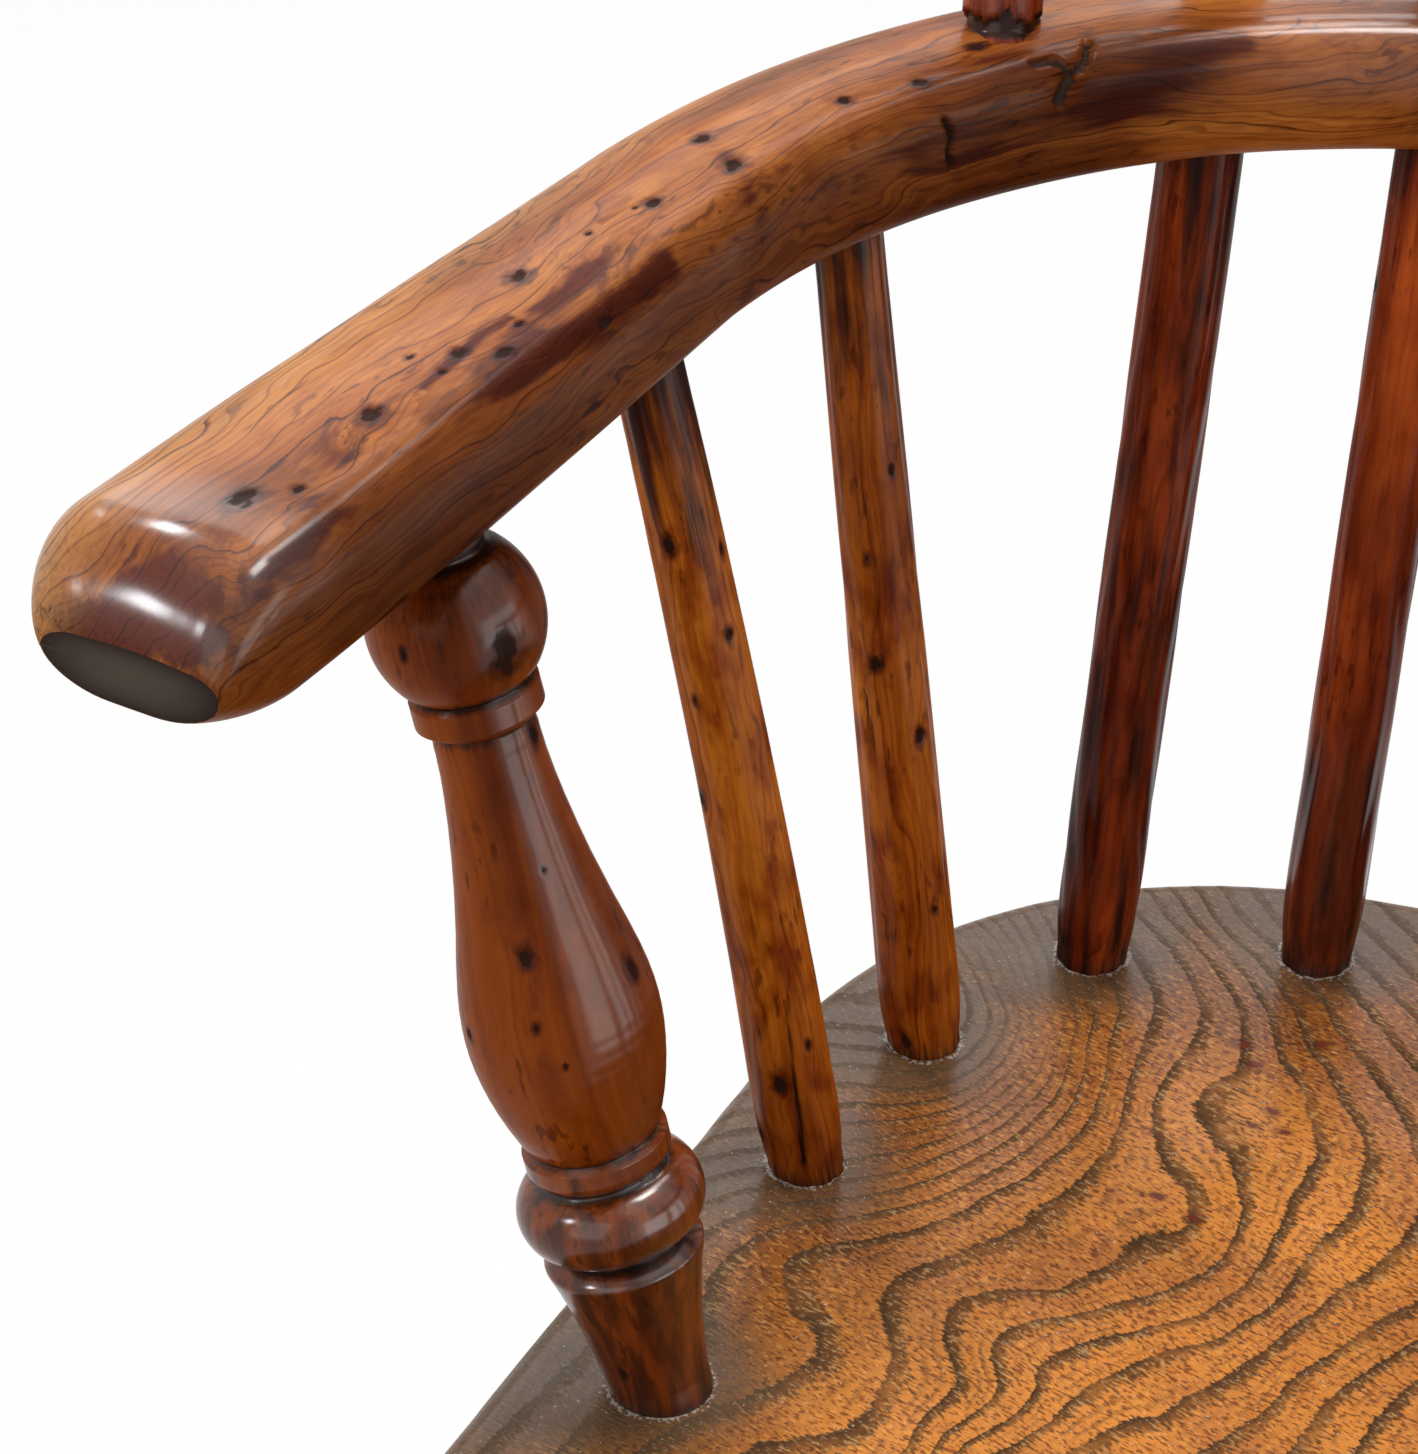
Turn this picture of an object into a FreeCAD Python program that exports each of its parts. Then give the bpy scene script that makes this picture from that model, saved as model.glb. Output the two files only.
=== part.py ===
import FreeCAD, Part
import math
import os

# Child's double-bow Windsor armchair, in millimetres.
# X runs to the sitter's left, Y to the back and Z up from the floor.
# The plan is laid out from the middle of the seat's back edge, and moved at
# the end so that the origin is under the middle of the whole chair.

# Fits
FIT = 0.1                     # radial clearance of a tenon in its socket
END_GAP = 0.5                 # clearance past the end of a blind tenon

# Seat: one thick board with rounded corners and a shallow dish
SEAT_HEIGHT = 280.0
SEAT_THICKNESS = 30.0
SEAT_DEPTH = 266.0
SEAT_BACK_WIDTH = 239.0       # between the side lines, at the back edge
SEAT_FRONT_WIDTH = 273.0      # between the side lines, at the front edge
SEAT_BACK_RADIUS = 260.0
SEAT_FRONT_RADIUS = 600.0
SEAT_BACK_CORNER = 93.0
SEAT_FRONT_CORNER = 42.0
SEAT_TOP_ROUND = 6.0
SEAT_UNDER_ROUND = 11.0
DISH_RADIUS = 100.0
DISH_DEPTH = 6.0
DISH_SETBACK = 150.0          # dish centre, forward of the back edge
DISH_LIP = 0.6                # height where the dish's curve runs out above the rim

# Arm bow: a bent U with straight, splayed arms
ARM_RISE = 156.0              # seat rim to the underside of the bow
BOW_RADIUS = 137.5            # centre line of the bend
BOW_OVERHANG = 7.7            # bend's back, behind the seat's back edge
BOW_SPLAY = 8.2               # degrees that each arm opens outward
BOW_ARM_LENGTH = 133.6        # straight arm, from the bend's end
BOW_THICKNESS = 24.0
BOW_CROWN = 1.2               # rise of the top face above its edges
BOW_BACK_WIDTH = 32.6
BOW_ARM_WIDTH = 39.6
BOW_TOP_INNER_ROUND = 7.0
BOW_TOP_OUTER_ROUND = 10.0
BOW_UNDER_INNER_ROUND = 6.0
BOW_UNDER_OUTER_ROUND = 10.0
BOW_END_ROLL = 16.0           # length of the roll at the arm's end
BOW_END_TURN = 68.0           # degrees that the roll has turned at the end face
BOW_END_TOP = 12.5            # how far the top edge rolls down there
BOW_END_UNDER = 2.2
BOW_END_OUTER = 7.5
BOW_END_INNER = 2.5
BOW_BEND_STEPS = 14           # sections in each half of the bend
BOW_ARM_STEPS = 8             # sections in each arm
BOW_END_STEPS = 6             # sections in each rolled end

# Hoop: a bent round rod that leans back and stands in the arm bow
HOOP_FOOT_RUN = 118.6         # along the bow's centre line, from its middle
HOOP_HEIGHT = 239.0           # bow's top to the crown, along the lean
HOOP_LEAN = 20.0              # degrees
HOOP_SPLAY = 5.0              # degrees that each leg opens outward
HOOP_FOOT_RADIUS = 6.5
HOOP_CROWN_RADIUS = 9.0
HOOP_FOOT_COLLAR = 8.0        # even stretch of leg above the bow
HOOP_TENON = 17.0             # blind tenon in the bow
HOOP_FOOT_STEPS = 6
HOOP_LEG_STEPS = 12
HOOP_ARCH_STEPS = 30

# Long back sticks, from the seat through the bow to the hoop
BACK_STICK_COUNT = 5
BACK_STICK_INSET = 21.5       # middle stick, in from the seat's back edge
BACK_STICK_ARC = 160.0        # radius of the curve that the feet stand on
BACK_STICK_ANGLE = 14.75      # degrees between neighbours on that curve
BACK_STICK_RADIUS = 7.3
BACK_STICK_FOOT_RADIUS = 6.5
BACK_STICK_TOP_RADIUS = 4.5
BACK_STICK_COLLAR = 10.0      # even stretch of stick above the bow
BACK_STICK_TIP = 13.5         # even tip, up to the hoop's centre line
BACK_STICK_PAST = 2.0         # tip past the hoop's centre line
BACK_STICK_HEAD_SPACING = 37.4   # between neighbours, at the hoop

# Short arm sticks, back one first
ARM_STICK_NAMES = ("back", "front")
ARM_STICK_SETBACKS = (78.0, 118.0)
ARM_STICK_INSETS = (26.2, 21.9)
ARM_STICK_RUNS = (148.8, 200.8)
ARM_STICK_RADIUS = 7.3
ARM_STICK_FOOT_RADIUS = 6.5
ARM_STICK_TOP_RADIUS = 5.8

# Shared stick joinery
STICK_NECK = 14.0             # rounded-in length above the seat
STICK_NECK_HOLLOW = 0.2       # neck's middle, inside the full radius
SEAT_TENON = 17.0             # tenon in the seat's top
BOW_TENON = 14.0              # blind tenon in the bow

# Turned arm posts
POST_SETBACK = 178.0
POST_INSET = 24.9
POST_RUN = 259.5
POST_FOOT_RADIUS = 8.4
POST_CUP_HEIGHT = 26.6
POST_CUP_RADIUS = 13.0
POST_CUP_HOLLOW = 0.9         # cup's side, inside the straight line from foot to lip
POST_CUP_LIP = 0.6
POST_CUP_BEVEL = 2.6          # height of the slope from the lip in to the ring
POST_GROOVE_RADIUS = 10.6
POST_RING_RADIUS = 15.2
POST_RING_WIDTH = 13.0
POST_COVE_WIDTH = 2.2         # from the ring out to the fillet
POST_FILLET_RADIUS = 11.7
POST_FILLET_WIDTH = 3.0
POST_WAIST_RADIUS = 10.2
POST_BELLY_RADIUS = 15.4
POST_BELLY_RISE = 22.4        # waist to the widest part of the vase
POST_BELLY_FULLNESS = 0.75    # share of the swell that is reached half way up to there
POST_SHOULDER = ((1 / 3, 0.6), (2 / 3, 0.17))   # shares of the fall and of the swell, above it
POST_NECK_RADIUS = 8.1
POST_COLLAR_RADIUS = 10.0
POST_COLLAR_WIDTH = 4.4
POST_COLLAR_STEP = 1.4        # slope from the neck out to the collar
POST_BALL_RADIUS = 13.6
POST_BALL_HEIGHT = 21.8
POST_BALL_SEAT_RADIUS = 8.8   # ball's ends, where it meets collar and tip
POST_TIP_LENGTH = 11.0        # plain tip between the ball and the bow
POST_TIP_RADIUS = 7.6

# Turned legs in blind sockets
LEG_BACK_SETBACK = 62.0
LEG_FRONT_SETBACK = 216.0
LEG_BACK_SPREAD = 156.0       # between the sockets' centres
LEG_FRONT_SPREAD = 178.0
LEG_SIDE_SPLAY = 38.0         # foot outside its socket
LEG_BACK_RAKE = 46.0          # back foot behind its socket
LEG_FRONT_RAKE = 26.0         # front foot ahead of its socket
LEG_TENON = 20.0
LEG_TOP_RADIUS = 9.0
LEG_VASE_RADIUS = 14.6
LEG_VASE_RISE = 30.0          # waist to the widest part of the vase
LEG_WAIST_RADIUS = 9.8
LEG_FILLET_RADIUS = 11.6
LEG_FILLET_WIDTH = 2.6
LEG_RING_RADIUS = 14.2
LEG_RING_WIDTH = 10.0
LEG_RING_HEIGHT = 140.0       # ring's lower edge, from the foot
LEG_NECK_RADIUS = 10.0
LEG_SWELL_RADIUS = 15.0
LEG_ANKLE_RADIUS = 9.6
LEG_ANKLE_HEIGHT = 42.0
LEG_FOOT_SWELL_RADIUS = 11.4
LEG_FOOT_SWELL_HEIGHT = 20.0
LEG_FOOT_RADIUS = 9.4

# Turned stretchers, an H under the seat
STRETCHER_HEIGHT = 92.0
STRETCHER_END_RADIUS = 6.6
STRETCHER_TENON = 10.0        # past the face of the piece that it enters
SIDE_STRETCHER_SWELL = 12.4
CROSS_STRETCHER_SWELL = 11.6
CROSS_RING_RADIUS = 10.4
CROSS_RING_WIDTH = 7.0
CROSS_RING_SPACING = 86.0     # between the two rings' middles

# Heights and places that follow from the sizes above
SEAT_UNDERSIDE = SEAT_HEIGHT - SEAT_THICKNESS
BOW_UNDERSIDE = SEAT_HEIGHT + ARM_RISE
BOW_TOP = BOW_UNDERSIDE + BOW_THICKNESS
BEND_RUN = BOW_RADIUS * math.radians(90.0 - BOW_SPLAY)
UP = FreeCAD.Vector(0, 0, 1)


def point(x, y, z):
    return FreeCAD.Vector(x, y, z)


def line(start, end):
    return Part.LineSegment(start, end).toShape()


def arc(start, middle, end):
    return Part.Arc(start, middle, end).toShape()


def along(start, end, distance):
    """Point at a distance from start on the line to end."""
    direction = (end - start).normalize()
    return start + direction * distance


def at_height(start, end, height):
    """Point where the line through start and end crosses a height."""
    share = (height - start.z) / (end.z - start.z)
    return start + (end - start) * share


def heel(start, end, radius):
    """Length along a leaning round piece whose low side is still below its foot's level."""
    rise = end - start
    return radius * math.hypot(rise.x, rise.y) / abs(rise.z) + END_GAP


def socket(start, end, radius, depth, entry):
    """Drill for a tenon: past the joint's face by depth, from entry before it."""
    direction = (end - start).normalize()
    return Part.makeCylinder(radius + FIT, depth + entry, start - direction * entry, direction)


def foot_socket(foot, head, radius):
    """Drill in the seat's top for a stick or post."""
    return socket(foot, foot * 2 - head, radius, SEAT_TENON + END_GAP, STICK_NECK)


def head_socket(foot, head, radius):
    """Blind drill in the bow's underside for a stick or post."""
    return socket(head, head * 2 - foot, radius, BOW_TENON + END_GAP, POST_TIP_LENGTH)


def turned(steps, base, tip):
    """Solid turned about the line from base to tip.

    A step (height, radius) is reached by a straight line, a step with a third
    item (middle height, middle radius) by an arc through that point, and a step
    whose third item is a list by a smooth curve through its points.
    """
    first_height, first_radius = steps[0]
    edges = [line(point(0, 0, first_height), point(first_radius, 0, first_height))]
    here = point(first_radius, 0, first_height)
    for step in steps[1:]:
        there = point(step[1], 0, step[0])
        if len(step) == 2:
            edges.append(line(here, there))
        elif isinstance(step[2], list):
            middles = [point(radius, 0, height) for height, radius in step[2]]
            curve = Part.BSplineCurve()
            curve.interpolate([here] + middles + [there])
            edges.append(curve.toShape())
        else:
            middle_height, middle_radius = step[2]
            edges.append(arc(here, point(middle_radius, 0, middle_height), there))
        here = there
    edges.append(line(here, point(0, 0, here.z)))
    edges.append(line(point(0, 0, here.z), point(0, 0, first_height)))
    solid = Part.Face(Part.Wire(edges)).revolve(point(0, 0, 0), UP, 360)
    solid.Placement = FreeCAD.Placement(base, FreeCAD.Rotation(UP, tip - base))
    return solid


def seat_side(setback):
    """Half width of the seat at a distance forward of its back edge."""
    growth = (SEAT_FRONT_WIDTH - SEAT_BACK_WIDTH) / SEAT_DEPTH
    return (SEAT_BACK_WIDTH + growth * setback) / 2


def bow_place(run):
    """Centre line of the bow at a run from its middle, and its outward direction.

    Positive runs go to the sitter's left.
    """
    side = math.copysign(1.0, run)
    turn = min(abs(run), BEND_RUN) / BOW_RADIUS
    outward = point(side * math.sin(turn), math.cos(turn), 0)
    bend_centre = point(0, BOW_OVERHANG - BOW_RADIUS, 0)
    forward = point(side * math.cos(turn), -math.sin(turn), 0)
    straight = max(0.0, abs(run) - BEND_RUN)
    return bend_centre + outward * BOW_RADIUS + forward * straight, outward


def bow_spot(side, run, height):
    """Point on the bow's centre line on one side, at a height."""
    centre, outward = bow_place(side * run)
    return point(centre.x, centre.y, height)


def bow_width(run):
    share = max(0.0, abs(run) - BEND_RUN) / BOW_ARM_LENGTH
    return BOW_BACK_WIDTH + (BOW_ARM_WIDTH - BOW_BACK_WIDTH) * math.sin(share * math.pi / 2)


def quarter_round(across, up, radius, start_angle):
    """Start, middle and end of a quarter round about a centre, from an angle in degrees."""
    angles = [math.radians(start_angle + turn) for turn in (0, 45, 90)]
    return [(across + radius * math.cos(angle), up + radius * math.sin(angle)) for angle in angles]


def bow_section(run, roll):
    """Bow's cross-section: flat sides, rounded corners, a low crown on top.

    A roll from 0 to 1 draws the section in, as at the ends of the arms.
    """
    centre, outward = bow_place(run)
    half = bow_width(run) / 2
    shoulder = BOW_THICKNESS - BOW_CROWN
    narrowing = 1 - roll * (BOW_END_OUTER + BOW_END_INNER) / (2 * half)
    thinning = 1 - roll * (BOW_END_TOP + BOW_END_UNDER) / BOW_THICKNESS

    def spot(across, up):
        drawn_across = (across + half) * narrowing + roll * BOW_END_INNER - half
        drawn_up = up * thinning + roll * BOW_END_UNDER
        return centre + outward * drawn_across + UP * (BOW_UNDERSIDE + drawn_up)

    # Centre, radius and start angle of each corner, and the crown of the face before it.
    corners = [
        (half - BOW_UNDER_OUTER_ROUND, BOW_UNDER_OUTER_ROUND, BOW_UNDER_OUTER_ROUND, -90, 0),
        (half - BOW_TOP_OUTER_ROUND, shoulder - BOW_TOP_OUTER_ROUND, BOW_TOP_OUTER_ROUND, 0, 0),
        (BOW_TOP_INNER_ROUND - half, shoulder - BOW_TOP_INNER_ROUND, BOW_TOP_INNER_ROUND, 90, BOW_CROWN),
        (BOW_UNDER_INNER_ROUND - half, BOW_UNDER_INNER_ROUND, BOW_UNDER_INNER_ROUND, 180, 0),
    ]
    start = spot(BOW_UNDER_INNER_ROUND - half, 0)
    here = start
    edges = []
    for across, up, radius, angle, crown in corners:
        first, middle, last = quarter_round(across, up, radius, angle)
        there = spot(*first)
        if crown:
            edges.append(arc(here, (here + there) * 0.5 + UP * crown, there))
        else:
            edges.append(line(here, there))
        here = start if (across, up) == corners[-1][:2] else spot(*last)
        edges.append(arc(there, spot(*middle), here))
    return Part.Wire(edges)


def bow_blank():
    """Arm bow before it is drilled, with its arm ends rolled over."""
    plain = BOW_ARM_LENGTH - BOW_END_ROLL
    full_turn = math.radians(BOW_END_TURN)
    half = [(BEND_RUN * step / BOW_BEND_STEPS, 0) for step in range(1, BOW_BEND_STEPS + 1)]
    half += [(BEND_RUN + plain * step / BOW_ARM_STEPS, 0) for step in range(1, BOW_ARM_STEPS + 1)]
    for step in range(1, BOW_END_STEPS + 1):
        turn = full_turn * step / BOW_END_STEPS
        advance = BOW_END_ROLL * math.sin(turn) / math.sin(full_turn)
        half.append((BEND_RUN + plain + advance, (1 - math.cos(turn)) / (1 - math.cos(full_turn))))
    places = [(-run, roll) for run, roll in reversed(half)] + [(0.0, 0)] + half
    return Part.makeLoft([bow_section(run, roll) for run, roll in places], True, False)


def hoop_spot(side, rise, across):
    """Point in the hoop's leaning plane: rise up the lean, across from the middle."""
    lean = math.radians(HOOP_LEAN)
    foot = bow_spot(1, HOOP_FOOT_RUN, BOW_TOP)
    return point(side * across, foot.y + rise * math.sin(lean), BOW_TOP + rise * math.cos(lean))


def hoop_sizes():
    """Half spread of the feet, and the radius and centre height of the arch.

    The arch is tangent to both splayed legs and its top is at HOOP_HEIGHT.
    """
    spread = bow_spot(1, HOOP_FOOT_RUN, BOW_TOP).x
    splay = math.radians(HOOP_SPLAY)
    radius = (spread + HOOP_HEIGHT * math.tan(splay)) / (1 / math.cos(splay) + math.tan(splay))
    return spread, radius, HOOP_HEIGHT - radius


def hoop_leg(side):
    """Foot of the hoop's leg at the bow's top, and a point further up its line."""
    spread, radius, centre = hoop_sizes()
    splay = math.radians(HOOP_SPLAY)
    head = hoop_spot(side, centre - radius * math.sin(splay), radius * math.cos(splay))
    return hoop_spot(side, 0, spread), head


def hoop_rod_radius(rise):
    """Rod's radius: even at the foot, then swelling smoothly to the crown."""
    share = max(0.0, rise - HOOP_FOOT_COLLAR) / (HOOP_HEIGHT - HOOP_FOOT_COLLAR)
    return HOOP_FOOT_RADIUS + (HOOP_CROWN_RADIUS - HOOP_FOOT_RADIUS) * share ** 2 * (3 - 2 * share)


def hoop_top(across):
    """Rise of the arch's centre line at a distance from the middle."""
    spread, radius, centre = hoop_sizes()
    return centre + math.sqrt(radius ** 2 - across ** 2)


def ring(centre, direction, square, radius):
    """Round section of four arcs, square to a direction."""
    second = direction.cross(square).normalize()
    spots = []
    for eighth in range(9):
        angle = math.radians(45 * eighth)
        spots.append(centre + square * (radius * math.cos(angle)) + second * (radius * math.sin(angle)))
    spots[8] = spots[0]
    return Part.Wire([arc(*spots[start:start + 3]) for start in (0, 2, 4, 6)])


def hoop_blank():
    """Hoop before it is drilled, as sections along leg, arch and leg."""
    spread, radius, centre = hoop_sizes()
    splay = math.radians(HOOP_SPLAY)
    lean = math.radians(HOOP_LEAN)
    square = point(0, math.cos(lean), -math.sin(lean))
    foot_length = HOOP_TENON + HOOP_FOOT_COLLAR
    leg_length = centre - radius * math.sin(splay) - HOOP_FOOT_COLLAR
    rises = [foot_length * step / HOOP_FOOT_STEPS - HOOP_TENON for step in range(HOOP_FOOT_STEPS)]
    rises += [HOOP_FOOT_COLLAR + leg_length * step / HOOP_LEG_STEPS for step in range(HOOP_LEG_STEPS)]
    sections = []
    for rise in rises:
        across = spread + rise * math.tan(splay)
        direction = hoop_spot(1, 1, math.tan(splay)) - hoop_spot(1, 0, 0)
        sections.append(ring(hoop_spot(1, rise, across), direction, square, hoop_rod_radius(rise)))
    for step in range(HOOP_ARCH_STEPS + 1):
        turn = -splay + (math.pi + 2 * splay) * step / HOOP_ARCH_STEPS
        rise = centre + radius * math.sin(turn)
        across = radius * math.cos(turn)
        direction = hoop_spot(1, math.cos(turn), -math.sin(turn)) - hoop_spot(1, 0, 0)
        sections.append(ring(hoop_spot(1, rise, across), direction, square, hoop_rod_radius(rise)))
    for rise in reversed(rises):
        across = spread + rise * math.tan(splay)
        direction = hoop_spot(-1, -1, -math.tan(splay)) - hoop_spot(-1, 0, 0)
        sections.append(ring(hoop_spot(-1, rise, across), direction, square, hoop_rod_radius(rise)))
    return Part.makeLoft(sections, True, False)


def seat_blank():
    """Seat board with rounded corners and edges, before dishing and drilling."""
    back = SEAT_BACK_WIDTH / 2
    front = SEAT_FRONT_WIDTH / 2
    back_drop = SEAT_BACK_RADIUS - math.sqrt(SEAT_BACK_RADIUS ** 2 - back ** 2)
    front_drop = SEAT_FRONT_RADIUS - math.sqrt(SEAT_FRONT_RADIUS ** 2 - front ** 2)
    corners = [
        point(-back, -back_drop, SEAT_UNDERSIDE),
        point(back, -back_drop, SEAT_UNDERSIDE),
        point(front, front_drop - SEAT_DEPTH, SEAT_UNDERSIDE),
        point(-front, front_drop - SEAT_DEPTH, SEAT_UNDERSIDE),
    ]
    outline = Part.Wire([
        arc(corners[0], point(0, 0, SEAT_UNDERSIDE), corners[1]),
        line(corners[1], corners[2]),
        arc(corners[2], point(0, -SEAT_DEPTH, SEAT_UNDERSIDE), corners[3]),
        line(corners[3], corners[0]),
    ])
    board = Part.Face(outline).extrude(UP * SEAT_THICKNESS)
    middle = -SEAT_DEPTH / 2
    uprights = [edge for edge in board.Edges if edge.BoundBox.ZLength > SEAT_THICKNESS / 2]
    back_corners = [edge for edge in uprights if edge.CenterOfMass.y > middle]
    board = board.makeFillet(SEAT_BACK_CORNER, back_corners)
    uprights = [edge for edge in board.Edges if edge.BoundBox.ZLength > SEAT_THICKNESS / 2
                and isinstance(edge.Curve, (Part.Line, Part.LineSegment))]
    sharp = [edge for edge in uprights if edge.CenterOfMass.y < front_drop - SEAT_DEPTH + FIT]
    board = board.makeFillet(SEAT_FRONT_CORNER, sharp)
    top = [edge for edge in board.Edges if edge.BoundBox.ZMin > SEAT_HEIGHT - FIT]
    board = board.makeFillet(SEAT_TOP_ROUND, top)
    under = [edge for edge in board.Edges if edge.BoundBox.ZMax < SEAT_UNDERSIDE + FIT]
    return board.makeFillet(SEAT_UNDER_ROUND, under)


def dish():
    """Round hollow that is taken out of the seat's top."""
    floor = point(0, 0, -DISH_DEPTH)
    curve = Part.BezierCurve()
    curve.setPoles([floor, point(DISH_RADIUS / 2, 0, -DISH_DEPTH),
                    point(DISH_RADIUS / 2, 0, DISH_LIP), point(DISH_RADIUS, 0, DISH_LIP)])
    top = point(0, 0, DISH_LIP)
    edges = [curve.toShape(), line(point(DISH_RADIUS, 0, DISH_LIP), top), line(top, floor)]
    hollow = Part.Face(Part.Wire(edges)).revolve(point(0, 0, 0), UP, 360)
    hollow.translate(point(0, -DISH_SETBACK, SEAT_HEIGHT))
    return hollow


def back_stick_line(index):
    """Foot of a back stick on the seat and its end on the hoop's centre line."""
    place = index - (BACK_STICK_COUNT - 1) / 2
    angle = math.radians(BACK_STICK_ANGLE * place)
    setback = BACK_STICK_INSET + BACK_STICK_ARC * (1 - math.cos(angle))
    head = BACK_STICK_HEAD_SPACING * place
    foot = point(BACK_STICK_ARC * math.sin(angle), -setback, SEAT_HEIGHT)
    return foot, hoop_spot(1, hoop_top(head), head)


def back_stick(foot, head):
    """Long stick: rounded in at the seat, even to the bow, then tapered."""
    length = (head - foot).Length
    even = (at_height(foot, head, BOW_TOP) - foot).Length + BACK_STICK_COLLAR
    return turned([
        (-SEAT_TENON, BACK_STICK_FOOT_RADIUS),
        (heel(foot, head, BACK_STICK_FOOT_RADIUS), BACK_STICK_FOOT_RADIUS),
        (STICK_NECK, BACK_STICK_RADIUS, (STICK_NECK / 2, BACK_STICK_RADIUS - STICK_NECK_HOLLOW)),
        (even, BACK_STICK_RADIUS),
        (length - BACK_STICK_TIP, BACK_STICK_TOP_RADIUS),
        (length + BACK_STICK_PAST, BACK_STICK_TOP_RADIUS),
    ], foot, head)


def arm_stick_line(side, index):
    """Foot of an arm stick on the seat and its place under the bow."""
    setback = ARM_STICK_SETBACKS[index]
    across = seat_side(setback) - ARM_STICK_INSETS[index]
    foot = point(side * across, -setback, SEAT_HEIGHT)
    return foot, bow_spot(side, ARM_STICK_RUNS[index], BOW_UNDERSIDE)


def arm_stick(foot, head):
    """Short stick: rounded in at the seat and tapered to the bow."""
    length = (head - foot).Length
    return turned([
        (-SEAT_TENON, ARM_STICK_FOOT_RADIUS),
        (heel(foot, head, ARM_STICK_FOOT_RADIUS), ARM_STICK_FOOT_RADIUS),
        (STICK_NECK, ARM_STICK_RADIUS, (STICK_NECK / 2, ARM_STICK_RADIUS - STICK_NECK_HOLLOW)),
        (length - STICK_NECK, ARM_STICK_TOP_RADIUS),
        (length + BOW_TENON, ARM_STICK_TOP_RADIUS),
    ], foot, head)


def post_line(side):
    """Foot of an arm post on the seat and its place under the bow."""
    across = seat_side(POST_SETBACK) - POST_INSET
    return point(side * across, -POST_SETBACK, SEAT_HEIGHT), bow_spot(side, POST_RUN, BOW_UNDERSIDE)


def arm_post(foot, head):
    """Turned post: cup, ring, vase, collar and ball, tenoned at both ends."""
    length = (head - foot).Length
    lip = POST_CUP_HEIGHT + POST_CUP_LIP
    ring_start = lip + POST_CUP_BEVEL
    ring_end = ring_start + POST_RING_WIDTH
    fillet = ring_end + POST_COVE_WIDTH
    waist = fillet + POST_FILLET_WIDTH
    belly = waist + POST_BELLY_RISE
    ball_end = length - POST_TIP_LENGTH
    ball_start = ball_end - POST_BALL_HEIGHT
    collar = ball_start - POST_COLLAR_WIDTH
    neck = collar - POST_COLLAR_STEP
    cup_middle = (POST_FOOT_RADIUS + POST_CUP_RADIUS) / 2 - POST_CUP_HOLLOW
    swell = POST_BELLY_RADIUS - POST_WAIST_RADIUS
    slope = POST_BELLY_RADIUS - POST_NECK_RADIUS
    vase = [(waist + POST_BELLY_RISE / 2, POST_WAIST_RADIUS + POST_BELLY_FULLNESS * swell)]
    vase.append((belly, POST_BELLY_RADIUS))
    vase += [(belly + (neck - belly) * up, POST_NECK_RADIUS + slope * out) for up, out in POST_SHOULDER]
    return turned([
        (-SEAT_TENON, POST_FOOT_RADIUS),
        (heel(foot, head, POST_FOOT_RADIUS), POST_FOOT_RADIUS),
        (POST_CUP_HEIGHT, POST_CUP_RADIUS, (POST_CUP_HEIGHT / 2, cup_middle)),
        (lip, POST_CUP_RADIUS),
        (ring_start, POST_GROOVE_RADIUS),
        (ring_end, POST_GROOVE_RADIUS, ((ring_start + ring_end) / 2, POST_RING_RADIUS)),
        (fillet, POST_FILLET_RADIUS),
        (waist, POST_FILLET_RADIUS),
        (waist, POST_WAIST_RADIUS),
        (neck, POST_NECK_RADIUS, vase),
        (collar, POST_COLLAR_RADIUS),
        (ball_start, POST_COLLAR_RADIUS),
        (ball_start, POST_BALL_SEAT_RADIUS),
        (ball_end, POST_BALL_SEAT_RADIUS, ((ball_start + ball_end) / 2, POST_BALL_RADIUS)),
        (ball_end, POST_TIP_RADIUS),
        (length + BOW_TENON, POST_TIP_RADIUS),
    ], foot, head)


def leg_line(side, end):
    """Foot of a leg on the floor and its place under the seat."""
    back = end == "back"
    spread = (LEG_BACK_SPREAD if back else LEG_FRONT_SPREAD) / 2
    setback = LEG_BACK_SETBACK if back else LEG_FRONT_SETBACK
    rake = LEG_BACK_RAKE if back else -LEG_FRONT_RAKE
    foot = point(side * (spread + LEG_SIDE_SPLAY), rake - setback, 0)
    return foot, point(side * spread, -setback, SEAT_UNDERSIDE)


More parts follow.
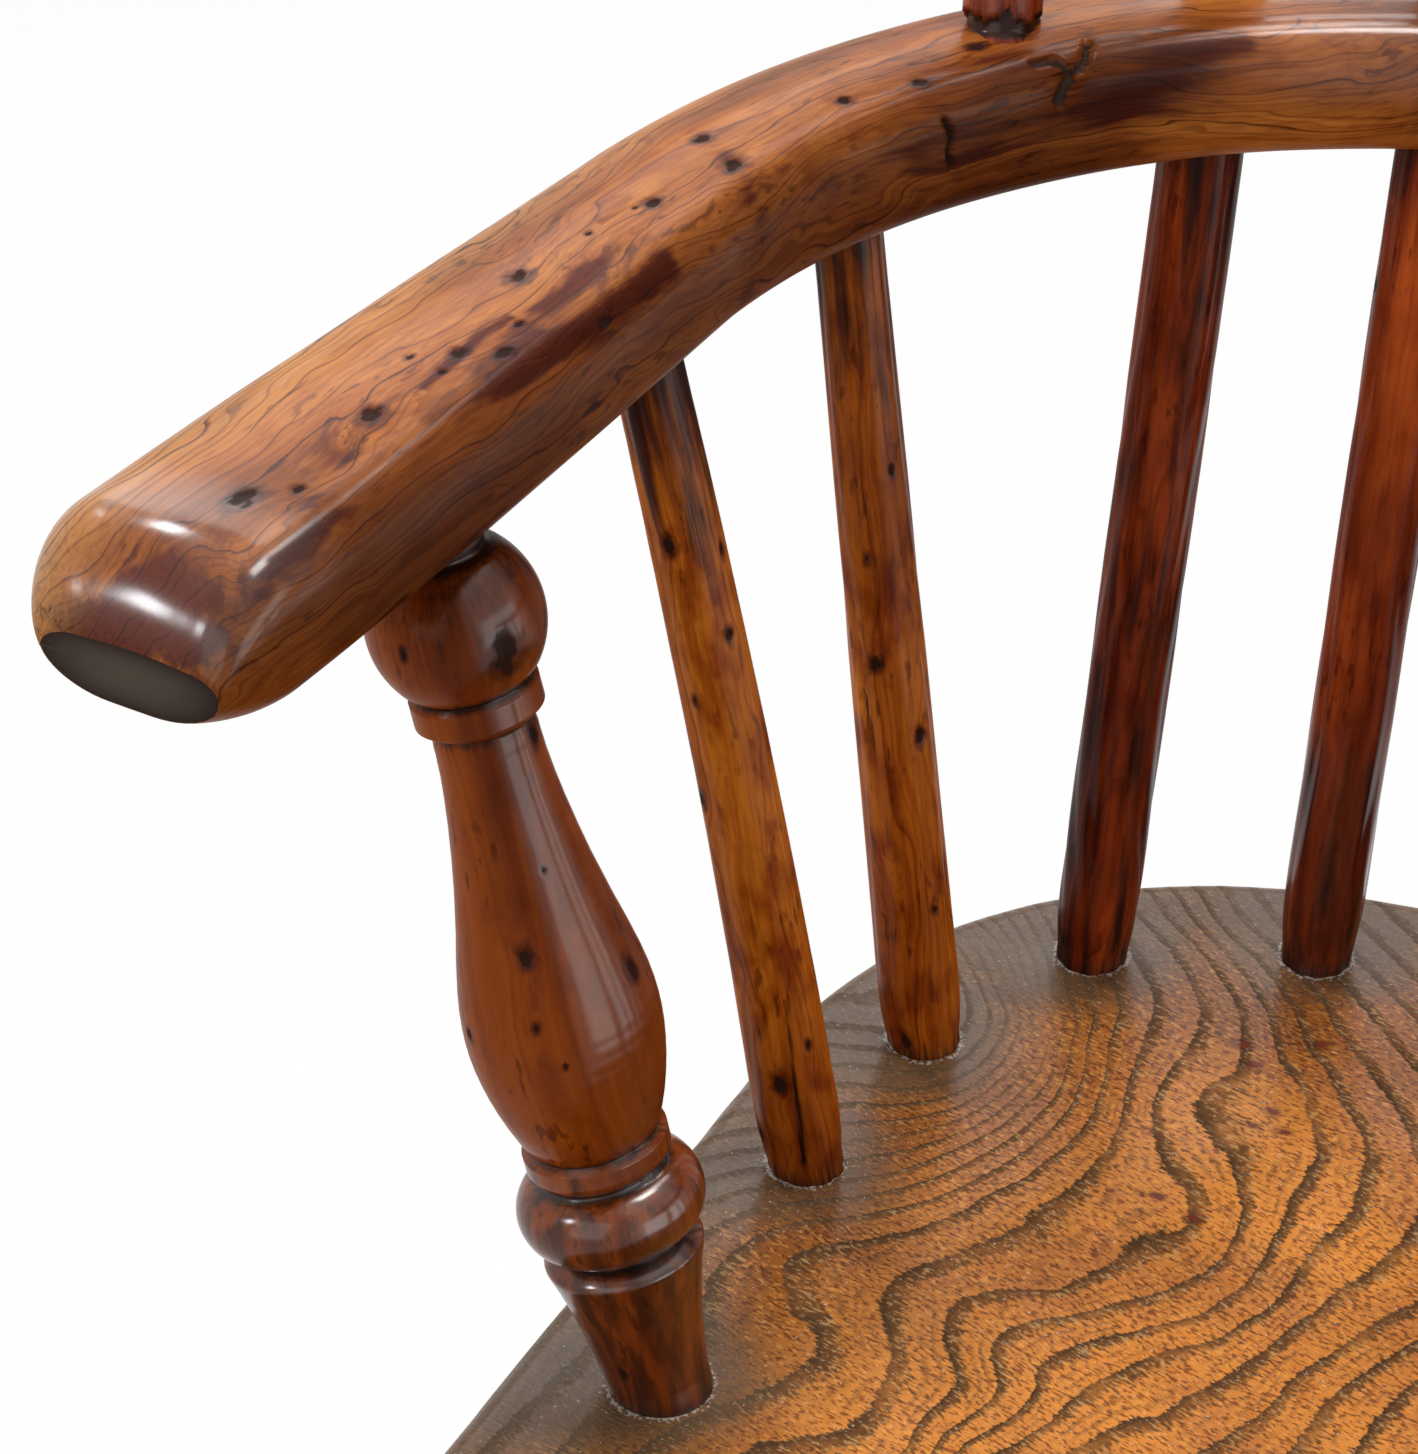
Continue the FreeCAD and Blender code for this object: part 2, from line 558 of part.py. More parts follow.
def leg(foot, head):
    """Turned leg: foot, ankle, swell at the stretcher, ring and vase."""
    length = (head - foot).Length
    swell = (at_height(foot, head, STRETCHER_HEIGHT) - foot).Length
    ring_end = LEG_RING_HEIGHT + LEG_RING_WIDTH
    waist = ring_end + LEG_FILLET_WIDTH
    belly = waist + LEG_VASE_RISE
    fall = length - belly
    slope = LEG_VASE_RADIUS - LEG_TOP_RADIUS
    drop = LEG_FOOT_RADIUS
    solid = turned([
        (-drop, LEG_FOOT_RADIUS),
        (0, LEG_FOOT_RADIUS),
        (LEG_ANKLE_HEIGHT, LEG_ANKLE_RADIUS, [(LEG_FOOT_SWELL_HEIGHT, LEG_FOOT_SWELL_RADIUS)]),
        (LEG_RING_HEIGHT, LEG_NECK_RADIUS, [
            ((LEG_ANKLE_HEIGHT + swell) / 2, (LEG_ANKLE_RADIUS + LEG_SWELL_RADIUS) / 2),
            (swell, LEG_SWELL_RADIUS),
            ((LEG_RING_HEIGHT + swell) / 2, (LEG_NECK_RADIUS + LEG_SWELL_RADIUS) / 2),
        ]),
        (ring_end, LEG_NECK_RADIUS, ((LEG_RING_HEIGHT + ring_end) / 2, LEG_RING_RADIUS)),
        (ring_end, LEG_FILLET_RADIUS),
        (waist, LEG_FILLET_RADIUS),
        (waist, LEG_WAIST_RADIUS),
        (length, LEG_TOP_RADIUS, [
            (waist + LEG_VASE_RISE / 2, LEG_VASE_RADIUS - (LEG_VASE_RADIUS - LEG_WAIST_RADIUS) / 4),
            (belly, LEG_VASE_RADIUS),
            (belly + fall / 2, LEG_TOP_RADIUS + slope / 3),
        ]),
        (length + LEG_TENON, LEG_TOP_RADIUS),
    ], foot, head)
    floor = Part.makeBox(4 * drop, 4 * drop, 2 * drop, foot - point(2 * drop, 2 * drop, 2 * drop))
    return solid.cut(floor)


def stretcher_spot(side, end):
    """Where a leg's line crosses the stretchers' height."""
    foot, head = leg_line(side, end)
    return at_height(foot, head, STRETCHER_HEIGHT)


def side_stretcher_line(side):
    """Ends of a side stretcher, at its tenons' tips inside the two legs."""
    front = stretcher_spot(side, "front")
    back = stretcher_spot(side, "back")
    reach = LEG_SWELL_RADIUS - STRETCHER_TENON
    return along(front, back, reach), along(back, front, reach)


def side_stretcher(start, end):
    """Spindle with a long swell in the middle."""
    length = (end - start).Length
    return turned([
        (0, STRETCHER_END_RADIUS),
        (STRETCHER_TENON, STRETCHER_END_RADIUS),
        (length - STRETCHER_TENON, STRETCHER_END_RADIUS, [
            (length / 4, (STRETCHER_END_RADIUS + SIDE_STRETCHER_SWELL) / 2),
            (length / 2, SIDE_STRETCHER_SWELL),
            (length * 3 / 4, (STRETCHER_END_RADIUS + SIDE_STRETCHER_SWELL) / 2),
        ]),
        (length, STRETCHER_END_RADIUS),
    ], start, end)


def cross_stretcher_line():
    """Ends of the cross stretcher, at its tenons' tips in the side stretchers."""
    ends = []
    for side in (-1, 1):
        start, end = side_stretcher_line(side)
        middle = (start + end) * 0.5
        ends.append(middle - point(side * (SIDE_STRETCHER_SWELL - STRETCHER_TENON), 0, 0))
    return ends[0], ends[1]


def cross_stretcher(start, end):
    """Spindle with a swell between two rings."""
    length = (end - start).Length
    middle = length / 2
    outer = middle - (CROSS_RING_SPACING + CROSS_RING_WIDTH) / 2
    inner = middle - (CROSS_RING_SPACING - CROSS_RING_WIDTH) / 2
    necks = STRETCHER_END_RADIUS
    return turned([
        (0, necks),
        (STRETCHER_TENON, necks),
        (outer, necks, [((STRETCHER_TENON + outer) / 2, (necks + CROSS_RING_RADIUS) / 2)]),
        (inner, necks, ((outer + inner) / 2, CROSS_RING_RADIUS)),
        (length - inner, necks, [(middle, CROSS_STRETCHER_SWELL)]),
        (length - outer, necks, (length - (outer + inner) / 2, CROSS_RING_RADIUS)),
        (length - STRETCHER_TENON, necks,
         [(length - (STRETCHER_TENON + outer) / 2, (necks + CROSS_RING_RADIUS) / 2)]),
        (length, necks),
    ], start, end)


SIDES = {"right": -1, "left": 1}
nodes = {}
seat_drills = [dish()]
bow_drills = []
hoop_drills = []

for index in range(BACK_STICK_COUNT):
    foot, head = back_stick_line(index)
    nodes["back_stick_%d" % (index + 1)] = back_stick(foot, head)
    seat_drills.append(foot_socket(foot, head, BACK_STICK_FOOT_RADIUS))
    bow_foot = at_height(foot, head, BOW_UNDERSIDE)
    bow_drills.append(socket(bow_foot, head, BACK_STICK_RADIUS, 2 * BOW_THICKNESS, BOW_THICKNESS))
    hoop_drills.append(socket(head, head * 2 - foot, BACK_STICK_TOP_RADIUS,
                              BACK_STICK_PAST + END_GAP, 2 * HOOP_CROWN_RADIUS))

for name, side in SIDES.items():
    for index, place in enumerate(ARM_STICK_NAMES):
        foot, head = arm_stick_line(side, index)
        nodes["arm_stick_%s_%s" % (place, name)] = arm_stick(foot, head)
        seat_drills.append(foot_socket(foot, head, ARM_STICK_FOOT_RADIUS))
        bow_drills.append(head_socket(foot, head, ARM_STICK_TOP_RADIUS))
    foot, head = post_line(side)
    nodes["arm_post_%s" % name] = arm_post(foot, head)
    seat_drills.append(foot_socket(foot, head, POST_FOOT_RADIUS))
    bow_drills.append(head_socket(foot, head, POST_TIP_RADIUS))
    hoop_foot, hoop_head = hoop_leg(side)
    bow_drills.append(socket(hoop_foot, hoop_foot * 2 - hoop_head, HOOP_FOOT_RADIUS,
                             HOOP_TENON + END_GAP, BOW_THICKNESS))

for name, side in SIDES.items():
    start, end = side_stretcher_line(side)
    tip = cross_stretcher_line()[0 if side < 0 else 1]
    outward = point(tip.x + side, tip.y, tip.z)
    nodes["side_stretcher_%s" % name] = side_stretcher(start, end).cut(
        socket(tip, outward, STRETCHER_END_RADIUS, END_GAP, 2 * SIDE_STRETCHER_SWELL))
    for place, tip, far in (("front", start, end), ("back", end, start)):
        foot, head = leg_line(side, place)
        leg_drill = socket(head, head * 2 - foot, LEG_TOP_RADIUS, LEG_TENON + END_GAP, SEAT_THICKNESS)
        seat_drills.append(leg_drill)
        nodes["leg_%s_%s" % (place, name)] = leg(foot, head).cut(
            socket(tip, tip * 2 - far, STRETCHER_END_RADIUS, END_GAP, 2 * LEG_SWELL_RADIUS))
nodes["cross_stretcher"] = cross_stretcher(*cross_stretcher_line())
nodes["seat"] = seat_blank().cut(seat_drills)
nodes["arm_bow"] = bow_blank().cut(bow_drills)
nodes["hoop"] = hoop_blank().cut(hoop_drills)

box = Part.makeCompound(list(nodes.values())).optimalBoundingBox(False)
shift = -(box.YMin + box.YMax) / 2
os.makedirs("parts", exist_ok=True)
for name, shape in nodes.items():
    shape = shape.Solids[0] if len(shape.Solids) == 1 else shape
    shape.translate(point(0, shift, 0))
    shape.exportStep("parts/%s.step" % name)
    report = (name, len(shape.Solids), shape.isValid(), shape.Volume)
    print("%-22s solids %d valid %s volume %.0f" % report)
print("moved in Y by %.3f" % shift)
print("overall %.1f x %.1f x %.1f" % (box.XLength, box.YLength, box.ZMax))
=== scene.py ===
# %% [markdown]
# # A child's stick-back armchair in yew and elm
#
# The chair is old and hand-made: a dished elm seat, a bent yew bow for the arms, a hoop above it, and turned
# or shaved sticks that join them. The CAD model is loaded as a fixed frame, in metres. Each visible piece is
# then skinned anew over the node that it stands for, because wood that was shaved, worn and waxed by hand is
# never as even as a drawing.

# %% Load the frame
import math

import bpy
import numpy as np
from mathutils import Euler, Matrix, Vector
from mathutils.bvhtree import BVHTree


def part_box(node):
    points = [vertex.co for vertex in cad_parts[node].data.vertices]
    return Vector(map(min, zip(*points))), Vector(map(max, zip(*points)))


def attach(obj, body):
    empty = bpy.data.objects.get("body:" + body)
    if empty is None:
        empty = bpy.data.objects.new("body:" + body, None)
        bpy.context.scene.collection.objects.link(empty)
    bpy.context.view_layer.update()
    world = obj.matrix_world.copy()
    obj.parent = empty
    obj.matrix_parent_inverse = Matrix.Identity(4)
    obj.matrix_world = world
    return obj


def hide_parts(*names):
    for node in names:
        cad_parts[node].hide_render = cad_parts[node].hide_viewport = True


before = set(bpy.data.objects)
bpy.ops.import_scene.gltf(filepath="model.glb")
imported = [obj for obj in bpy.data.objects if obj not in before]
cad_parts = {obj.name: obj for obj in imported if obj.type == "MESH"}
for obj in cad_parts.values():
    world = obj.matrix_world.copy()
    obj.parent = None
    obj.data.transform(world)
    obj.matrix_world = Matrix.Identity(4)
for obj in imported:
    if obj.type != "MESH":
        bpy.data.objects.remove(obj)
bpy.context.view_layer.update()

MM = 0.001

# %% [markdown]
# ## The camera
#
# The picture is a close view of one arm, from the front and above. A camera could be turned by eye until it
# looks right. Here its place follows from the sizes of the pieces, and the focal length is kept in pixels,
# so that a pixel of the photograph can also be traced back to a spot on the chair.

# %% Camera
PHOTO_WIDTH = 1418                 # pixels
PHOTO_HEIGHT = 1454
FOCAL_PIXELS = 4200
SENSOR = 36.0                      # mm along the photograph's longer side
CAMERA_PLACE = Vector((0.0972, -0.5288, 0.7456))
CAMERA_TILT = 56                   # degrees from looking straight down
CAMERA_TURN = 23
CAMERA_AIM = Euler((math.radians(CAMERA_TILT), 0, math.radians(CAMERA_TURN)))
NEAREST_SIGHT = 0.01

eye = bpy.data.cameras.new("photo_camera")
eye.sensor_width = SENSOR
eye.lens = FOCAL_PIXELS / PHOTO_HEIGHT * SENSOR
eye.clip_start = NEAREST_SIGHT
camera = bpy.data.objects.new("photo_camera", eye)
camera.location = CAMERA_PLACE
camera.rotation_euler = CAMERA_AIM
bpy.context.scene.collection.objects.link(camera)
bpy.context.scene.camera = camera
bpy.context.scene.view_settings.view_transform = "Standard"
print("camera:", round(eye.lens, 1), "mm lens")

# %% [markdown]
# Knots, checks and grain lines belong to this one chair, so they are placed where the photograph shows them.
# A ray goes from the camera through a pixel and stops at the CAD surface, and the mark is then a place on the
# wood, which stays there from every other side.

# %% Rays through the photograph
def photo_ray(x, y):
    """Direction from the camera through a pixel of the photograph."""
    direction = Vector((x - PHOTO_WIDTH / 2, PHOTO_HEIGHT / 2 - y, -FOCAL_PIXELS))
    direction.rotate(CAMERA_AIM)
    return direction.normalized()


def surface_of(node):
    """A CAD node's surface, ready to be hit by rays."""
    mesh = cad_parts[node].data
    points = [vertex.co for vertex in mesh.vertices]
    return BVHTree.FromPolygons(points, [face.vertices for face in mesh.polygons])


def photo_spots(surface, pixels):
    """Places on a surface that these pixels of the photograph show."""
    hits = [surface.ray_cast(CAMERA_PLACE, photo_ray(x, y))[0] for x, y in pixels]
    missed = [pixel for pixel, hit in zip(pixels, hits) if hit is None]
    if missed:
        print("no wood at", missed)
    return np.array([hit for hit in hits if hit is not None]).reshape(-1, 3)


middle_ray = photo_ray(PHOTO_WIDTH / 2, PHOTO_HEIGHT / 2)
print("the camera looks along", [round(part, 2) for part in middle_ray])

# %% [markdown]
# ## Light and floor
#
# The gloss of old wax shows only where something bright is mirrored in it, so each lamp stands where its
# mirror image is wanted. The one overhead and the strip draw the band along the back of the bow, two small
# lamps make the hot spots on the arm's end, the wide window on the right draws the long band on the turned
# post, and the window at the back gives arm and seat their sheen. The ceiling and the front fill only soften
# the shadows.

# %% Softboxes
AIM = Vector((0.0, -0.02, 0.40))
DAYLIGHT = (0.93, 0.97, 1.0)
LAMPLIGHT = (1.0, 0.98, 0.95)
LAMPS = [                          # name, place, width, height, watts, colour
    ("overhead", (0.05, 0.25, 1.65), 0.30, 0.40, 8.0, LAMPLIGHT),
    ("strip_back", (0.0, 0.85, 1.55), 0.20, 0.80, 5.0, LAMPLIGHT),
    ("ceiling", (0.0, 0.10, 2.30), 2.4, 2.4, 9.0, LAMPLIGHT),
    ("lamp_left", (-0.88, 0.46, 1.52), 0.20, 0.20, 6.0, DAYLIGHT),
    ("lamp_front", (-1.02, -0.94, 1.18), 0.20, 0.20, 7.0, DAYLIGHT),
    ("window_right", (1.40, -0.15, 0.50), 1.50, 0.90, 9.0, LAMPLIGHT),
    ("window_back", (-0.72, 1.33, 1.35), 1.25, 0.7, 7.5, DAYLIGHT),
    ("front_fill", (-0.3, -1.5, 1.0), 1.2, 1.2, 8.0, LAMPLIGHT),
]


def softbox(name, place, width, height, watts, colour):
    """A rectangular lamp that faces the chair."""
    lamp = bpy.data.lights.new(name, "AREA")
    lamp.shape = "RECTANGLE"
    lamp.size = width
    lamp.size_y = height
    lamp.energy = watts
    lamp.color = colour
    holder = bpy.data.objects.new(name, lamp)
    holder.location = place
    holder.rotation_euler = (AIM - Vector(place)).to_track_quat("-Z", "Y").to_euler()
    bpy.context.scene.collection.objects.link(holder)


for lamp in LAMPS:
    softbox(*lamp)
print("lamps:", [lamp.name for lamp in bpy.data.lights])

# %% [markdown]
# Every finish below is wired from nodes. A few small helpers keep that readable: they add a node and fill its
# inputs by name, do sums, mix colours, turn a value into a soft step and draw noise out along the grain.

# %% Wiring helpers
MIX_SHARE, MIX_UNDER, MIX_OVER, MIX_RESULT = 0, 6, 7, 2
SCREEN_WHITE = 255
SCREEN_LIFT = 0.055                # lift and power of a screen's colour curve
SCREEN_POWER = 2.4


def bare_tree(owner):
    """The emptied node tree of a material or of the world."""
    owner.use_nodes = True
    owner.node_tree.nodes.clear()
    return owner.node_tree


def plug(tree, value, socket):
    """Links a socket to another, or sets its plain value."""
    if isinstance(value, bpy.types.NodeSocket):
        tree.links.new(value, socket)
    else:
        socket.default_value = value


def add(tree, kind, **values):
    """A shader node: capitalised names fill its inputs, the others are its settings."""
    node = tree.nodes.new("ShaderNode" + kind)
    for name, value in values.items():
        if name[0].isupper():
            plug(tree, value, node.inputs[name.replace("_", " ")])
        else:
            setattr(node, name, value)
    return node


def calc(tree, operation, *values):
    """The result of a sum on one to three values."""
    node = add(tree, "Math", operation=operation)
    for value, socket in zip(values, node.inputs):
        plug(tree, value, socket)
    return node.outputs[0]


def times(tree, first, second):
    """The product of two values."""
    return calc(tree, "MULTIPLY", first, second)


def raised(tree, value, factor, base):
    """A value times a factor, on top of a base."""
    return calc(tree, "MULTIPLY_ADD", value, factor, base)


def ragged(tree, value, noise, amount):
    """A value made uneven by a noise, by up to half the amount either way."""
    return calc(tree, "ADD", value, raised(tree, noise, amount, -amount / 2))


def tint(tree, share, under, over, mode="MIX"):
    """A colour laid over another by a share."""
    node = add(tree, "Mix", data_type="RGBA", blend_type=mode)
    plug(tree, share, node.inputs[MIX_SHARE])
    plug(tree, under, node.inputs[MIX_UNDER])
    plug(tree, over, node.inputs[MIX_OVER])
    return node.outputs[MIX_RESULT]


def ease(tree, value, start, end):
    """A soft step: 0 at start, 1 at end."""
    return add(tree, "MapRange", interpolation_type="SMOOTHSTEP",
               Value=value, From_Min=start, From_Max=end).outputs[0]


def scaled(tree, vector, factors):
    """A vector stretched along its three axes."""
    node = add(tree, "VectorMath", operation="MULTIPLY")
    plug(tree, vector, node.inputs[0])
    plug(tree, factors, node.inputs[1])
    return node.outputs[0]


def grain_noise(tree, grain, along, scale, detail=2.0):
    """Noise that is drawn out along the grain: the smaller along is, the longer its lumps."""
    stretched = scaled(tree, grain, (along, 1, 1))
    return add(tree, "TexNoise", Vector=stretched, Scale=scale, Detail=detail).outputs[0]


def colour(red, green, blue):
    """A colour as a screen shows it, from 0 to 255, made linear for the renderer."""
    parts = [part / SCREEN_WHITE for part in (red, green, blue)]
    linear = [((part + SCREEN_LIFT) / (1 + SCREEN_LIFT)) ** SCREEN_POWER for part in parts]
    return (*linear, 1.0)


print("white in linear light:", colour(SCREEN_WHITE, SCREEN_WHITE, SCREEN_WHITE))

# %% [markdown]
# The floor is a plain pale sheet. Lit by the lamps alone it would look grey in the distance, so for the
# camera, and for mirror images, most of its colour is an even white. The rest is lit as usual and keeps the
# chair's soft shadow. The room round it is white in the same way, but sheds only a little light on the chair.

# %% Floor and room
FLOOR_REACH = 30.0                 # m
FLOOR_WHITE = 0.92                 # share of even white
FLOOR_COLOUR = colour(228, 227, 224)
FLOOR_ROUGHNESS = 0.9
ROOM_LIGHT = 0.15
WHITE = (1, 1, 1, 1)

sheet = bpy.data.meshes.new("floor")
floor_corners = [(-FLOOR_REACH, -FLOOR_REACH, 0), (FLOOR_REACH, -FLOOR_REACH, 0),
                 (FLOOR_REACH, FLOOR_REACH, 0), (-FLOOR_REACH, FLOOR_REACH, 0)]
sheet.from_pydata(floor_corners, [], [(0, 1, 2, 3)])
floor = bpy.data.objects.new("floor", sheet)
bpy.context.scene.collection.objects.link(floor)


def looked_at(tree):
    """1 for the camera and for mirror images, 0 for light that falls on the chair."""
    path = add(tree, "LightPath").outputs
    seen = calc(tree, "MAXIMUM", path["Is Camera Ray"], path["Is Glossy Ray"])
    return calc(tree, "MAXIMUM", seen, path["Is Transmission Ray"])


floor_paint = bpy.data.materials.new("floor_paint")
tree = bare_tree(floor_paint)
paint = add(tree, "BsdfPrincipled", Base_Color=FLOOR_COLOUR, Roughness=FLOOR_ROUGHNESS)
glow = add(tree, "Emission", Color=WHITE, Strength=1.0)
both = add(tree, "MixShader")
plug(tree, times(tree, looked_at(tree), FLOOR_WHITE), both.inputs[0])
plug(tree, paint.outputs[0], both.inputs[1])
plug(tree, glow.outputs[0], both.inputs[2])
add(tree, "OutputMaterial", Surface=both.outputs[0])
sheet.materials.append(floor_paint)

room = bpy.data.worlds.new("room")
tree = bare_tree(room)
strength = raised(tree, looked_at(tree), 1 - ROOM_LIGHT, ROOM_LIGHT)
sky = add(tree, "Background", Color=WHITE, Strength=strength)
add(tree, "OutputWorld", Surface=sky.outputs[0])
bpy.context.scene.world = room
print("floor:", 2 * FLOOR_REACH, "m wide")

# %% [markdown]
# ## Yew
#
# Yew is fine, wavy and full of pin knots. Its growth rings are thin dark lines, and the heartwood runs from
# gold through orange to a dark red. A stretched noise picture would give streaks, but no rings that bend
# round a knot. So each piece carries its own place in the log, called its grain: a length along the wood and
# two distances across it. A node group draws rings round a pith from that.

# %% Node group: growth rings
LATE_START = (0.6, 0.92)           # parts of a year's growth between which its dark line comes up
LATE_STOP = (1.0, 0.94)            # and goes again
FAINTEST_YEAR = 0.15
RING_TONE = 0.25                   # share of the rings in the slow change of tone


def new_group(name, inputs, outputs):
    """An empty node group with named sockets."""
    tree = bpy.data.node_groups.new(name, "ShaderNodeTree")
    for label, kind, value in inputs:
        socket = tree.interface.new_socket(label, in_out="INPUT", socket_type="NodeSocket" + kind)
        if value is not None:
            socket.default_value = value
    for label in outputs:
        tree.interface.new_socket(label, in_out="OUTPUT", socket_type="NodeSocketFloat")
    return tree, tree.nodes.new("NodeGroupInput").outputs, tree.nodes.new("NodeGroupOutput").inputs


def placed(tree, group, **values):
    """A node group put to work in a material: its outputs."""
    node = tree.nodes.new("ShaderNodeGroup")
    node.node_tree = group
    for name, value in values.items():
        plug(tree, value, node.inputs[name])
    return node.outputs


def growth_rings():
    """Rings round a pith, the slow change of tone and the fine fibre of the wood."""
    tree, given, result = new_group(
        "growth_rings",
        [("Grain", "Vector", None), ("Pith", "Vector", (0.0, -0.05, -0.02)),
         ("Gap", "Float", 0.001), ("Wander", "Float", 0.004)],
        ["Line", "Tone", "Fibre", "Dash", "Burr", "Smoke"])
    grain = given["Grain"]
    offset = add(tree, "VectorMath", operation="SUBTRACT")
    plug(tree, grain, offset.inputs[0])
    plug(tree, given["Pith"], offset.inputs[1])
    reach = add(tree, "VectorMath", operation="LENGTH")
    plug(tree, scaled(tree, offset.outputs[0], (0, 1, 1)), reach.inputs[0])
    wave = grain_noise(tree, grain, along=0.35, scale=70, detail=2.5)
    wave = times(tree, calc(tree, "SUBTRACT", wave, 0.5), given["Wander"])
    ring = calc(tree, "DIVIDE", calc(tree, "ADD", reach.outputs["Value"], wave), given["Gap"])
    season = calc(tree, "FRACT", ring)
    late = times(tree, ease(tree, season, *LATE_START), ease(tree, season, *LATE_STOP))
    year = add(tree, "TexWhiteNoise", noise_dimensions="1D", W=calc(tree, "FLOOR", ring)).outputs["Value"]
    year = raised(tree, calc(tree, "POWER", year, 2.0), 1 - FAINTEST_YEAR, FAINTEST_YEAR)
    plug(tree, times(tree, late, year), result["Line"])
    broad = add(tree, "TexNoise", noise_dimensions="1D", W=times(tree, ring, 0.16), Detail=2.0).outputs[0]
    slow = grain_noise(tree, grain, along=0.22, scale=45, detail=3.0)
    plug(tree, raised(tree, broad, RING_TONE, times(tree, slow, 1 - RING_TONE)), result["Tone"])
    plug(tree, grain_noise(tree, grain, along=0.05, scale=1300), result["Fibre"])
    short = ease(tree, grain_noise(tree, grain, along=0.28, scale=620, detail=3.0), 0.56, 0.66)
    patch = ease(tree, grain_noise(tree, grain, along=0.5, scale=75), 0.42, 0.62)
    plug(tree, times(tree, short, patch), result["Dash"])
    burr = grain_noise(tree, grain, along=0.6, scale=150, detail=5.0)
    plug(tree, ease(tree, burr, 0.44, 0.72), result["Burr"])
    smoke = grain_noise(tree, grain, along=0.4, scale=42, detail=3.0)
    plug(tree, ease(tree, smoke, 0.48, 0.66), result["Smoke"])
    return tree


GROWTH_RINGS = growth_rings()
print("group:", GROWTH_RINGS.name)

# %% [markdown]
# Pin knots are the mark of yew. The large ones are known and come with each piece as a closeness, which is 1
# in the middle of a knot and 0 at its edge. Small ones are scattered by a cell texture in which only a few
# cells hold a knot. The group gives a black core and a dark halo.

# %% Node group: pin knots
KNOT_LENGTH = 0.6                  # knots are longer along the grain
SMALLEST_KNOT = 0.05               # in cells of the scatter
KNOT_SPREAD = 0.12
CORE_WIDTH = 0.4                   # times the knot
HALO_WIDTH = 2.6
KNOT_RAGGED = 1.6


def pin_knots():
    """Core and halo of the known knots and of small scattered ones."""
    tree, given, result = new_group(
        "pin_knots",
        [("Grain", "Vector", None), ("Knot", "Float", 0.0), ("Share", "Float", 0.1)],
        ["Core", "Halo"])
    grain = given["Grain"]
    cells = add(tree, "TexVoronoi", Vector=scaled(tree, grain, (KNOT_LENGTH, 1, 1)), Scale=85).outputs
    lot = add(tree, "SeparateColor", Color=cells["Color"]).outputs
    chosen = calc(tree, "LESS_THAN", lot[0], given["Share"])
    size = raised(tree, lot[1], KNOT_SPREAD, SMALLEST_KNOT)
    small_core = ease(tree, cells["Distance"], size, times(tree, size, CORE_WIDTH))
    small_halo = ease(tree, cells["Distance"], times(tree, size, HALO_WIDTH), size)
    edge = grain_noise(tree, grain, along=KNOT_LENGTH, scale=600, detail=3.0)
    known = ragged(tree, given["Knot"], edge, KNOT_RAGGED)
    core = calc(tree, "MAXIMUM", times(tree, chosen, small_core), ease(tree, known, 0.1, 0.45))
    halo = calc(tree, "MAXIMUM", times(tree, chosen, small_halo), ease(tree, known, -0.8, 0.2))
    plug(tree, core, result["Core"])
    plug(tree, halo, result["Halo"])
    return tree


PIN_KNOTS = pin_knots()
print("group:", PIN_KNOTS.name)

# %% [markdown]
# A waxed surface is glossy, but not evenly: hands polish it, dust dulls it, and the wax lies thicker in some
# places. This group turns a slow and a fine noise into a roughness between two values.

# %% Node group: wax polish
FINE_POLISH = 0.35                 # share of the fine noise


def wax_polish():
    """Roughness that wanders between two values."""
    tree, given, result = new_group(
        "wax_polish",
        [("Grain", "Vector", None), ("Glossy", "Float", 0.15), ("Dull", "Float", 0.4)],
        ["Roughness"])
    slow = grain_noise(tree, given["Grain"], along=0.5, scale=60, detail=3.0)
    fine = grain_noise(tree, given["Grain"], along=0.15, scale=900)
    mixed = raised(tree, fine, FINE_POLISH, times(tree, ease(tree, slow, 0.3, 0.75), 1 - FINE_POLISH))
    span = calc(tree, "SUBTRACT", given["Dull"], given["Glossy"])
    plug(tree, raised(tree, mixed, span, given["Glossy"]), result["Roughness"])
    return tree


WAX_POLISH = wax_polish()
print("group:", WAX_POLISH.name)

# %% [markdown]
# The four yew finishes share one recipe and differ in colour, ring gap and darkness. Each mesh brings marks
# of its own from point to point: heart where the wood is dark red, and the painted shade at a stick's top
# under the bow; sap where it is pale; painted shade on the arm's inner face, and smoky wood; grime where
# black wax gathers, and painted shadow below the bow; dust where the wood is dry, and wax where hands have
# polished it.
# The wax is a clear coat, because bare wood hardly mirrors. Rings and knots lower the surface through a bump.

# %% Yew finishes
BARE_MIRROR = 0.03                 # wood alone hardly mirrors, the wax over it does
WAX_ROUGHNESS = 0.18
YEW_GLOSSY = 0.3
YEW_DULL = 0.5
YEW_RELIEF = 0.3 * MM
YEW_BUMP = 0.5
LINE_SHADE = colour(104, 66, 46)
BURR_SHADE = colour(178, 128, 92)
FIBRE_SHADE = colour(200, 172, 145)
HALO_SHADE = colour(120, 78, 56)
# this tint is also the painted shade on the bow's inner face
SMOKE_AND_PAINTED_SHADE = colour(156, 136, 104)
SAPWOOD = colour(190, 139, 84)
KNOT_BLACK = colour(34, 18, 12)
